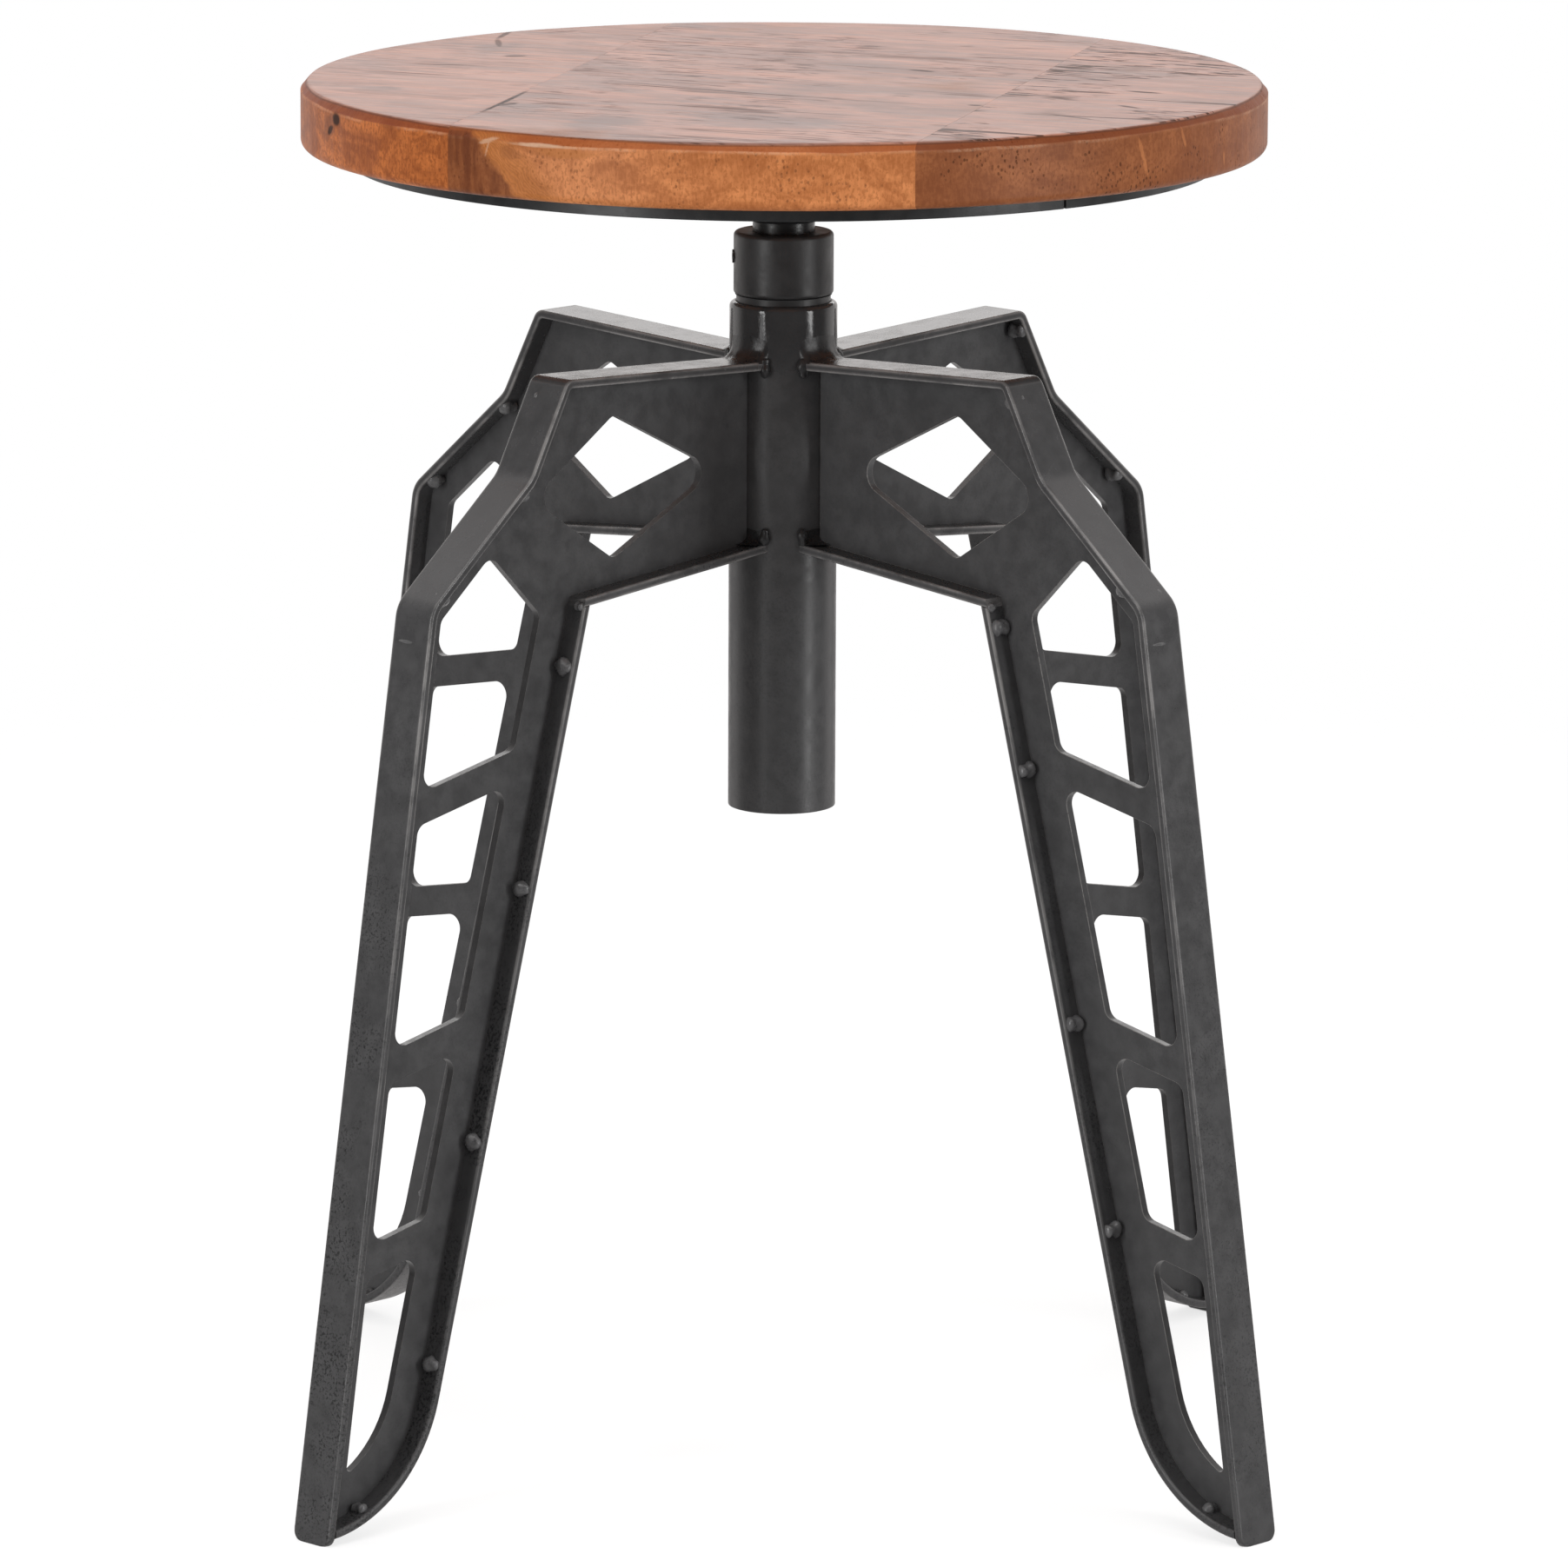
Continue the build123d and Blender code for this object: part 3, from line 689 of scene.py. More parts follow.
class STOOL_OT_welds(bpy.types.Operator):
    """Lay the weld beads of the legs"""

    bl_idname = "stool.welds"
    bl_label = "Welds"
    bl_options = {"REGISTER", "UNDO"}

    def execute(self, context):
        line = leg_lines()
        metal = plain_paint("weld_metal")
        # Hub fillets take a darker paint: painted shade in the crease between rail and tube
        fillet = plain_paint("fillet_paint_shaded")
        for leg in LEG_WAYS:
            pieces = (
                ("weld_tacks", leg_tacks, metal, [f"{leg}_tack_welds"]),
                ("hub_weld", hub_welds, fillet, ()),
                ("toe_weld", toe_welds, metal, ()),
            )
            for name, maker, material, nodes in pieces:
                make_piece(f"{leg}_{name}", maker(leg, line), material, "base", nodes, 75)
        return {"FINISHED"}


# Hub, nut, boss and journal: sizes that the frame's boxes don't give
HUB_WALL = 2.5 * MM
NUT_BORE_INSET = 1.4 * MM
NUT_PLAY = 0.02 * MM
NUT_STAND_OFF = 2.5 * MM
BOSS_BORE_INSET = 0.5 * MM
BOSS_FOOT_RADIUS = 13 * MM
BOSS_CONE_HEIGHT = 7 * MM
JOURNAL_RADIUS = 7 * MM

# Thread: inset of its crests, run-out, rings a turn, sides, and its flat and flank as shares of the lead
CREST_INSET = 1.5 * MM
THREAD_RUN_OUT = 4 * MM
THREAD_RINGS = 14
THREAD_SIDES = 48
THREAD_FLAT = 0.10
THREAD_FLANK = 0.26


class STOOL_OT_hub(bpy.types.Operator):
    """Turn the hub tube and the screw nut"""

    bl_idname = "stool.hub"
    bl_label = "Hub and nut"
    bl_options = {"REGISTER", "UNDO"}

    def execute(self, context):
        low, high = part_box("hub_tube")
        inner = high.x - HUB_WALL
        tube = [(inner, low.z), (high.x, low.z), (high.x, high.z), (inner, high.z)]
        rounds = [0.5 * MM, 0.5 * MM, 2.1 * MM, 0.3 * MM]
        turned_piece("hub_tube", tube, rounds, hub_paint(), "base", 8, 0.15 * MM)
        nut_low, nut_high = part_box("screw_nut")
        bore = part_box("spindle")[1].x - NUT_BORE_INSET
        neck = inner - NUT_PLAY
        shelf = high.z + NUT_STAND_OFF
        nut = [
            (bore, nut_low.z), (neck, nut_low.z), (neck, shelf),
            (nut_high.x, shelf), (nut_high.x, nut_high.z), (bore, nut_high.z),
        ]
        rounds = [0.4 * MM, 0.4 * MM, 0.25 * MM, 1.5 * MM, 1.7 * MM, 0.4 * MM]
        turned_piece("screw_nut", nut, rounds, plain_paint("nut_paint"), "base", 8)
        dress("grub_screw", oxide_steel())
        return {"FINISHED"}


def threaded_spindle():
    """The spindle: journal, thread and shoulder, as one grid of angle and height.

    Along the thread the radius falls by a trapezium of the height in leads less the turn. The thread runs
    out below the nut's top, and the first and last ring close to a pole.
    """
    low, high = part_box("spindle")
    nut_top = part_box("screw_nut")[1].z
    washer_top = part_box("guide_washer")[1].z
    lead = seat().screw_lead
    rings = int((nut_top - washer_top) / lead * THREAD_RINGS)
    height = np.concatenate([
        [low.z, low.z, washer_top],
        np.linspace(washer_top + 0.3 * MM, nut_top - 0.3 * MM, rings),
        [nut_top, high.z, high.z],
    ])
    angle = np.linspace(0, 2 * pi, THREAD_SIDES, endpoint=False)[:, None]
    phase = (height / lead - angle / (2 * pi)) % 1.0
    flank = np.clip((np.abs(phase - 0.5) - THREAD_FLAT) / THREAD_FLANK, 0, 1)
    threaded = (height > washer_top + 0.2 * MM) & (height < nut_top - 0.2 * MM)
    run_out = np.clip((nut_top - height) / THREAD_RUN_OUT, 0, 1)
    radius = high.x - CREST_INSET - seat().thread_depth * (1 - flank) * threaded * run_out
    radius = np.where(height <= washer_top, JOURNAL_RADIUS, radius)
    radius = np.where(height >= nut_top, high.x, radius)
    radius[:, [0, -1]] = 0
    return np.stack([radius * np.cos(angle), radius * np.sin(angle), height + 0 * radius], axis=-1)


class STOOL_OT_screw(bpy.types.Operator):
    """Cut the spindle's thread and turn the boss above it"""

    bl_idname = "stool.screw"
    bl_label = "Spindle"
    bl_options = {"REGISTER", "UNDO"}

    def execute(self, context):
        shape = grid_shape(threaded_spindle(), True)
        make_piece("spindle_thread", [shape], spindle_steel(), "seat", ["spindle"], 50)
        low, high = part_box("spindle_boss")
        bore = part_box("spindle")[1].x - BOSS_BORE_INSET
        boss = [
            (bore, low.z), (BOSS_FOOT_RADIUS, low.z), (high.x, low.z + BOSS_CONE_HEIGHT),
            (high.x, high.z), (bore, high.z),
        ]
        rounds = [0.3 * MM, 0.8 * MM, 1.5 * MM, 0.4 * MM, 0.3 * MM]
        turned_piece("spindle_boss", boss, rounds, plain_paint("boss_paint"), "seat")
        dress("guide_washer", bright_steel())
        dress("end_bolt", oxide_steel())
        return {"FINISHED"}


# Seat frame: rounded edges of the cross bars, and the wood screws
CROSS_BAR_EDGE = 0.9 * MM
SCREW_COUNT = 8
SCREW_FIRST = radians(22.5)
SCREW_HEAD = 4.45 * MM
SCREW_SHANK = 2.2 * MM
SCREW_FLARE = 2.4 * MM
RECESS_DEPTH = 1.3 * MM


def cross_flat(radius, width, low, high, start=None):
    """A flat cross bar along +X, coped to the ring's inner circle, from a start or right across it.

    Its end lies at the root of the circle's radius squared less the place across the bar squared.
    """
    across, up = flat_section(width, high - low, CROSS_BAR_EDGE).T
    end = np.sqrt(radius**2 - across**2)
    begin = -end if start is None else start
    along = begin + (end - begin) * np.array([0.0, 0.02, 0.98, 1.0])[:, None]
    return np.stack([along, across + 0 * along, low + up + 0 * along], axis=-1)


def spun(grid, angle):
    """A grid of points turned about the spindle's axis."""
    return np.concatenate([swung(grid[..., 0], grid[..., 1], angle), grid[..., 2:]], axis=-1)


def wood_screw(centre, tall, turn):
    """A countersunk wood screw, pointing up, with a cross recess in its head.

    It is a grid of angle and profile: across the head, up the cone, up the shank and in to the tip. The
    recess lifts the head's face where a cross, drawn on it, covers it.
    """
    angle = np.linspace(0, 2 * pi, 48, endpoint=False)[:, None]
    face = np.linspace(0, 1, 22) * SCREW_HEAD
    radius = np.concatenate([face, [SCREW_SHANK, SCREW_SHANK, 0]])[None, :]
    rise = np.concatenate([np.zeros(len(face)), [SCREW_FLARE, tall - SCREW_FLARE, tall]])[None, :]
    along = np.abs(radius * np.cos(angle - turn))
    across = np.abs(radius * np.sin(angle - turn))
    arm = np.clip((0.15 * SCREW_HEAD - np.minimum(along, across)) / (0.05 * SCREW_HEAD), 0, 1)
    tip = np.clip((0.62 * SCREW_HEAD - np.maximum(along, across)) / (0.08 * SCREW_HEAD), 0, 1)
    sunk = RECESS_DEPTH * (arm * tip) * (np.arange(radius.size) < len(face))
    grid = np.stack([radius * np.cos(angle), radius * np.sin(angle), rise + sunk], axis=-1)
    return grid_shape(centre + grid, close_u=True)


class STOOL_OT_seat_frame(bpy.types.Operator):
    """Roll the seat ring and lay the cross bars and screws in it"""

    bl_idname = "stool.seat_frame"
    bl_label = "Seat frame"
    bl_options = {"REGISTER", "UNDO"}

    def execute(self, context):
        low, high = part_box("seat_ring")
        # Ring and cross bars take a darker paint: painted shade under the seat
        paint = plain_paint("ring_paint_shaded")
        eased_copy("seat_ring_rolled", "seat_ring", paint, "seat")
        bar_low, bar_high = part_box("cross_bar")
        inner = bar_high.x
        width = bar_high.y - bar_low.y
        bars = (
            ("cross_bar_long", "cross_bar", 0, None),
            ("cross_arm_front_bar", "cross_arm_front", -pi / 2, width / 2),
            ("cross_arm_back_bar", "cross_arm_back", pi / 2, width / 2),
        )
        for name, node, way, start in bars:
            grid = spun(cross_flat(inner, width, low.z, high.z, start), way)
            shape = grid_shape(grid, close_v=True, caps=True)
            make_piece(name, [shape], paint, "seat", [node])
        middle = (high.x + inner) / 2
        screw_low, screw_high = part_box("wood_screws")
        screws = []
        for number in range(SCREW_COUNT):
            way = SCREW_FIRST + number * 2 * pi / SCREW_COUNT
            centre = np.array([middle * cos(way), middle * sin(way), screw_low.z])
            screws.append(wood_screw(centre, screw_high.z - screw_low.z, turn=0.9 * number))
        make_piece("wood_screws_crossed", screws, oxide_steel(), "seat", ["wood_screws"], 35)
        return {"FINISHED"}


# Boards: bulge of the worn top edge, and how far its wear reaches in
EDGE_BULGE = 0.35 * MM
EDGE_WEAR = 0.55 * MM


def board_edge(size, thick):
    """Profile of a board's edge, from top to bottom: inset from the circle and drop below the top.

    The worn top edge is a bevel that bulges by a parabola, and the lower edge is a quarter circle.
    """
    bevel = np.array([0, 0.03, 0.08, 0.2, 0.35, 0.5, 0.65, 0.8, 0.9, 0.96, 1.0])
    bulge = EDGE_BULGE * 4 * bevel * (1 - bevel)
    straight = (thick - size.top_round - size.bottom_round) * np.array([0.02, 0.3, 0.7, 0.98])
    angle = np.linspace(0, pi / 2, 9)
    inset = [size.top_inset * (1 - bevel) - bulge, 0 * straight, size.bottom_round * (1 - np.cos(angle))]
    drop = [
        size.top_round * bevel - bulge, size.top_round + straight,
        thick - size.bottom_round * (1 - np.sin(angle)),
    ]
    return np.concatenate(inset), np.concatenate(drop)


def board_outline(low_cut, high_cut, radius, inset, groove):
    """Rings of a board's outline, along and across it: the circle between two straight cuts.

    The circle is drawn in by the edge's inset, and the cuts by the joint's groove. A point of the circle is
    its radius times the cosine and sine of an even angle between the arcsines of the cuts.
    """
    arc = np.linspace(0, 1, 121)[None, :]
    line = np.linspace(0, 1, 42)[None, 1:-1]
    circle = radius - inset
    start = np.clip(low_cut + groove if low_cut > -radius else -circle, -circle, circle)
    stop = np.clip(high_cut - groove if high_cut < radius else circle, -circle, circle)
    first = np.arcsin(start / circle)
    last = np.arcsin(stop / circle)
    right = first + (last - first) * arc
    parts = [(circle * np.cos(right), circle * np.sin(right))]
    if high_cut < radius:
        parts.append((circle * np.cos(last) * (1 - 2 * line), stop + 0 * line))
    back = last + (first - last) * arc
    parts.append((-circle * np.cos(back), circle * np.sin(back)))
    if low_cut > -radius:
        parts.append((-circle * np.cos(first) * (1 - 2 * line), start + 0 * line))
    return [np.concatenate(side, axis=1) for side in zip(*parts)]


def board_shape(low_cut, high_cut):
    """A board of the round seat: one closed surface over the outline and the depth of its edge.

    The top and bottom are the outline shrunk towards its middle. The planed top rises and falls by a
    few long sines, and the worn edge is wider in some places than in others.
    """
    size = seat()
    low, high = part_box("seat_board_middle")
    radius = (high.x - low.x) / 2
    inset, drop = board_edge(size, high.z - low.z)
    groove = size.joint_groove * np.clip(1 - drop / (1.2 * size.joint_groove), 0, 1)
    top = np.linspace(0.02, 1, 40)[:-1]
    bottom = top[::-4]
    share = np.concatenate([top, np.ones(len(inset)), bottom])[:, None]
    inset, groove, level = (
        np.pad(values, (len(top), len(bottom)), mode="edge")[:, None]
        for values in (inset, groove, high.z - drop)
    )
    along, across = board_outline(low_cut, high_cut, radius, inset, groove)
    middle = (max(low_cut, -radius) + min(high_cut, radius)) / 2
    along = along * share
    across = middle + (across - middle) * share
    wave = (
        np.sin(along / 0.046 + 1.3) * np.sin(across / 0.031 + 0.4)
        + 0.6 * np.sin(along / 0.019 + across / 0.024)
        + 0.4 * np.sin(along / 0.011 - across / 0.037 + 2.0)
    )
    on_top = np.clip((level - (high.z - size.top_round)) / size.top_round, 0, 1)
    height = level + on_top * size.waviness * (wave - 2.0) / 2
    way = np.arctan2(across, along)
    wear = 1 + 0.32 * np.sin(5 * way + 0.7) * np.sin(11 * way + 2.0) + 0.14 * np.sin(23 * way)
    worn = on_top * (1 - on_top) * 4 * EDGE_WEAR * wear * (share >= 1)
    pull = 1 - worn / np.maximum(np.hypot(along, across), radius / 2)
    flat = swung(along * pull, across * pull, size.board_angle)
    return np.concatenate([flat, height[..., None]], axis=-1)


class STOOL_OT_seat_boards(bpy.types.Operator):
    """Plane the three boards of the seat"""

    bl_idname = "stool.seat_boards"
    bl_label = "Seat boards"
    bl_options = {"REGISTER", "UNDO"}

    def execute(self, context):
        left, right, far = seat().left_joint, -seat().right_joint, 1.0
        cuts = {"left": (left, far), "middle": (right, left), "right": (-far, right)}
        for name, ends in cuts.items():
            shape = grid_shape(board_shape(*ends), close_v=True, caps=True)
            make_piece(
                f"seat_plank_{name}", [shape], plank_wood(name), "seat", [f"seat_board_{name}"],
                50,
            )
        return {"FINISHED"}


# Materials


class Nodes:
    """A shorthand for filling a node tree: plain values go into sockets, and sockets are linked."""

    def __init__(self, tree):
        self.tree = tree

    def feed(self, node, inputs):
        for key, value in inputs.items():
            if isinstance(value, bpy.types.NodeSocket):
                self.tree.links.new(value, node.inputs[key])
            else:
                node.inputs[key].default_value = value
        return node

    def add(self, kind, inputs=None, **settings):
        node = self.tree.nodes.new("ShaderNode" + kind)
        for key, value in settings.items():
            setattr(node, key, value)
        return self.feed(node, inputs or {})

    def group(self, tree, inputs):
        return self.add("Group", inputs, node_tree=tree)

    def math(self, operation, first, second=0.0, clamp=False):
        return self.add("Math", {0: first, 1: second}, operation=operation, use_clamp=clamp).outputs[0]

    def times(self, first, *others):
        for other in others:
            first = self.math("MULTIPLY", first, other)
        return first

    def plus(self, first, *others):
        for other in others:
            first = self.math("ADD", first, other)
        return first

    def minus(self, first, second):
        return self.math("SUBTRACT", first, second)

    def vector(self, operation, first, second):
        return self.add("VectorMath", {0: first, 1: second}, operation=operation).outputs[0]

    def measure(self, operation, first, second=(0, 0, 0)):
        return self.add("VectorMath", {0: first, 1: second}, operation=operation).outputs["Value"]

    def axis(self, vector, name="Z"):
        return self.add("SeparateXYZ", {0: vector}).outputs[name]

    def grey(self, tone):
        return self.add("CombineColor", {0: tone, 1: tone, 2: tone}).outputs[0]

    def bump(self, height, strength, distance):
        return self.add("Bump", {"Height": height, "Strength": strength, "Distance": distance}).outputs[0]

    def mix(self, share, first, second, blend="MIX"):
        node = self.add("Mix", {0: share, 6: first, 7: second}, data_type="RGBA", blend_type=blend)
        return node.outputs[2]

    def window(self, value, low, high, out_low=0.0, out_high=1.0):
        inputs = {"Value": value, "From Min": low, "From Max": high, "To Min": out_low, "To Max": out_high}
        return self.add("MapRange", inputs, interpolation_type="SMOOTHSTEP").outputs[0]

    def noise(self, vector, scale, detail=3.0, roughness=0.5, distortion=0.0):
        inputs = {
            "Vector": vector, "Scale": scale, "Detail": detail, "Roughness": roughness,
            "Distortion": distortion,
        }
        return self.add("TexNoise", inputs).outputs["Fac"]

    def streaks(self, vector, scale, detail=3.0, roughness=0.5, distortion=0.0, shift=(0, 0, 0)):
        drawn = self.placed(vector, scale=scale, shift=shift)
        return self.noise(drawn, 1.0, detail, roughness, distortion)

    def placed(self, vector, turn=0.0, scale=(1, 1, 1), shift=(0, 0, 0)):
        inputs = {"Vector": vector, "Rotation": (0, 0, turn), "Scale": scale, "Location": shift}
        return self.add("Mapping", inputs).outputs[0]

    def object_place(self):
        return self.add("TexCoord").outputs["Object"]


SOCKETS = {"colour": "NodeSocketColor", "value": "NodeSocketFloat", "vector": "NodeSocketVector"}


def new_group(name, inputs, outputs):
    """A shader node group with named inputs and outputs; gives its nodes, its inputs and its output node."""
    tree = bpy.data.node_groups.new(name, "ShaderNodeTree")
    for label, kind in inputs.items():
        tree.interface.new_socket(name=label, in_out="INPUT", socket_type=SOCKETS[kind])
    for label, kind in outputs.items():
        tree.interface.new_socket(name=label, in_out="OUTPUT", socket_type=SOCKETS[kind])
    nodes = Nodes(tree)
    entry = tree.nodes.new("NodeGroupInput")
    leave = tree.nodes.new("NodeGroupOutput")
    return nodes, entry.outputs, leave


def new_material(name):
    """A material with a bare shader; gives the material, its nodes and its shader."""
    material = bpy.data.materials.new(name)
    material.use_nodes = True
    nodes = Nodes(material.node_tree)
    shader = material.node_tree.nodes["Principled BSDF"]
    return material, nodes, shader


def once(maker):
    """Keeps what a maker of a material or group made the first time."""
    kept = {}

    def keep(*names):
        if names not in kept:
            kept[names] = maker(*names)
        return kept[names]

    keep.__doc__ = maker.__doc__
    return keep


def opaque(rgb):
    """A colour with full alpha."""
    return (*rgb, 1.0)


def tint(name):
    """A colour of the finishes, with full alpha."""
    return opaque(getattr(finish(), name))


@once
def paint_group():
    """Sprayed paint: dust shadows, dark speckles and orange peel, each from noise on object coordinates."""
    nodes, entry, leave = new_group(
        "sprayed_paint",
        {"Colour": "colour", "Dark": "colour", "Speckle": "value", "Roughness": "value", "Peel": "value"},
        {"Colour": "colour", "Roughness": "value", "Height": "value"},
    )
    spot = nodes.object_place()
    cloud = nodes.noise(spot, 26.0, 4.0, 0.6)
    dust = nodes.noise(nodes.placed(spot, shift=(3.1, 1.7, 0.4)), 140.0, 3.0, 0.6)
    grains = nodes.noise(nodes.placed(spot, shift=(0.7, 5.2, 2.9)), 940.0, 3.0, 0.70)
    peel = nodes.noise(spot, 900.0, 2.0, 0.5)
    speck = nodes.times(nodes.window(grains, 0.48, 0.64), nodes.window(cloud, 0.36, 0.58))
    speck = nodes.math("MULTIPLY", speck, entry["Speckle"], clamp=True)
    shade = nodes.window(dust, 0.25, 0.75, 0.88, 1.10)
    tone = nodes.times(shade, nodes.window(cloud, 0.30, 0.72, 0.91, 1.08))
    lit = nodes.mix(1.0, entry["Colour"], nodes.grey(tone), "MULTIPLY")
    rough = nodes.plus(entry["Roughness"], nodes.window(dust, 0.3, 0.7, -0.05, 0.07))
    nodes.feed(leave, {
        "Colour": nodes.mix(speck, lit, entry["Dark"]),
        "Roughness": nodes.math("ADD", rough, nodes.times(speck, 0.10), clamp=True),
        "Height": nodes.times(nodes.minus(peel, speck), entry["Peel"]),
    })
    return nodes.tree


# Painted finishes: colour, speckle, roughness, orange peel and strength of the relief
PAINTS = {
    "speckled_paint": ("paint", 0.75, 0.31, 1.0, 0.3),
    "plate_paint": ("paint", 0.15, 0.33, 0.5, 0.3),
    # Lighter paint of the webs' cut edges: a painted highlight
    "edge_highlight_paint": ("cut_edge_highlight", 0.50, 0.28, 0.5, 0.3),
    # Darker paint of the ring and cross bars: painted shade under the seat
    "ring_paint_shaded": ("ring", 0.15, 0.38, 0.6, 0.3),
    "nut_paint": ("nut", 0.10, 0.44, 0.5, 0.3),
    "boss_paint": ("boss", 0.05, 0.50, 0.5, 0.3),
    "hub_paint": ("paint", 0.20, 0.37, 0.6, 0.3),
    # The nut's darker colour on the hub fillets: painted shade in the crease between rail and tube
    "fillet_paint_shaded": ("nut", 0.20, 0.30, 0.8, 0.5),
    "weld_metal": ("weld", 0.30, 0.25, 1.0, 0.6),
}


def painted(name):
    """A painted steel finish from the shared paint group; gives its nodes, shader and paint too."""
    hue, speckle, roughness, peel, relief = PAINTS[name]
    material, nodes, shader = new_material(name)
    paint = nodes.group(paint_group(), {
        "Colour": tint(hue), "Dark": tint("paint_dark"), "Speckle": speckle, "Roughness": roughness,
        "Peel": peel,
    })
    nodes.feed(shader, {
        "Base Color": paint.outputs["Colour"],
        "Roughness": paint.outputs["Roughness"],
        "Normal": nodes.bump(paint.outputs["Height"], relief, 0.15 * MM),
        "IOR": 1.5,
    })
    return material, nodes, shader, paint


@once
def plain_paint(name):
    """A painted finish that is the same all over."""
    return painted(name)[0]


@once
def speckled_paint():
    """Paint of the flat bars: glossier on the arms, speckled towards the floor and rubbed along its edges."""
    material, nodes, shader, paint = painted("speckled_paint")
    spot = nodes.object_place()
    height = nodes.axis(spot)
    low = nodes.window(height, 0.33, 0.14, 0.08, 1.60)
    nodes.feed(paint, {
        "Speckle": nodes.times(low, nodes.window(nodes.axis(spot, "X"), -0.10, -0.03, 1.0, 0.45)),
        "Roughness": nodes.window(height, 0.30, 0.38, 0.32, 0.22),
        "Peel": nodes.window(height, 0.30, 0.38, 1.0, 0.12),
    })
    # Lighter paint along the bars' edges, patchy and stronger higher up: partly rubbed paint, partly a
    # painted highlight of the edges
    edges = nodes.add("Attribute", attribute_name="rub").outputs["Fac"]
    patchy = nodes.window(nodes.noise(spot, 38.0, 4.0, 0.65), 0.36, 0.62, 0.12, 0.9)
    rub = nodes.times(edges, patchy, nodes.window(height, 0.06, 0.36, 0.12, 1.0))
    nodes.feed(shader, {"Base Color": nodes.mix(rub, paint.outputs["Colour"], tint("rubbed_edge_and_highlight"))})
    return material


@once
def hub_paint():
    """Hub paint: glossy above the arms, dull and dusty below them."""
    material, nodes, shader, paint = painted("hub_paint")
    high = nodes.window(nodes.axis(nodes.object_place()), 0.396, 0.412)
    nodes.feed(shader, {
        "Base Color": nodes.mix(nodes.times(high, 0.70), paint.outputs["Colour"], tint("nut")),
        "Roughness": nodes.minus(paint.outputs["Roughness"], nodes.times(high, 0.26)),
    })
    return material


def machined(name):
    """Machined steel with fine turning rings and a film of oil; gives its nodes, shader and colour too."""
    material, nodes, shader = new_material(name)
    spot = nodes.object_place()
    rings = nodes.noise(nodes.placed(spot, scale=(0.2, 0.2, 1.0)), 1400.0, 2.0)
    dirty = nodes.window(nodes.noise(spot, 90.0, 4.0, 0.6), 0.45, 0.72)
    base = nodes.mix(nodes.times(dirty, 0.65), tint("steel"), tint("oxide"))
    nodes.feed(shader, {
        "Base Color": base,
        "Roughness": nodes.plus(nodes.window(rings, 0.3, 0.7, 0.24, 0.38), nodes.times(dirty, 0.2)),
        "Normal": nodes.bump(rings, 0.2, 0.05 * MM),
        "Metallic": 1.0,
    })
    return material, nodes, shader, base


@once
def bright_steel():
    """Bare machined steel of the guide washer."""
    return machined("bright_steel")[0]


@once
def spindle_steel():
    """Machined thread, its shoulder above the nut painted black."""
    material, nodes, shader, base = machined("spindle_steel")
    nut_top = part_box("screw_nut")[1].z
    above = nodes.window(nodes.axis(nodes.object_place()), nut_top - 1.0 * MM, nut_top)
    nodes.feed(shader, {
        "Base Color": nodes.mix(above, base, tint("boss")),
        "Metallic": nodes.minus(1.0, above),
    })
    return material


@once
def oxide_steel():
    """Black oxide on screws and bolts, rubbed a little."""
    material, nodes, shader = new_material("oxide_steel")
    rub = nodes.window(nodes.noise(nodes.object_place(), 420.0, 4.0, 0.6), 0.5, 0.75)
    nodes.feed(shader, {
        "Base Color": nodes.mix(rub, tint("oxide"), tint("steel")),
        "Roughness": nodes.window(rub, 0.0, 1.0, 0.45, 0.30),
        "Metallic": 0.8,
    })
    return material


# Direction of the saw marks across the boards
MARK_TURN = radians(70)

# Colour that darkens the wood into a band of painted shade along the worn top edge
BAND_SHADE = (0.85, 0.60, 0.38)

# Share of the tops and of the sawn edges that the lacquer covers
LACQUER = 0.53
EDGE_LACQUER = 0.32


@once
def mark_group():
    """One mark: a stretched spot at a place, turned, and torn at its edge by noise."""
    nodes, entry, leave = new_group(
        "torn_mark",
        {"Place": "vector", "Size": "vector", "Turn": "vector", "Tear": "value"},
        {"Mask": "value"},
    )
    spot = nodes.object_place()
    shifted = nodes.vector("SUBTRACT", spot, entry["Place"])
    turn = {"Vector": shifted, "Rotation": entry["Turn"]}
    along = nodes.add("VectorRotate", turn, rotation_type="EULER_XYZ").outputs[0]
    far = nodes.measure("LENGTH", nodes.vector("DIVIDE", along, entry["Size"]))
    torn = nodes.streaks(nodes.placed(spot, turn=MARK_TURN), (80, 330, 330), 3.0, 0.65)
    tear = nodes.times(nodes.minus(torn, 0.5), entry["Tear"])
    nodes.feed(leave, {"Mask": nodes.window(nodes.plus(far, tear), 1.0, 0.45)})
    return nodes.tree


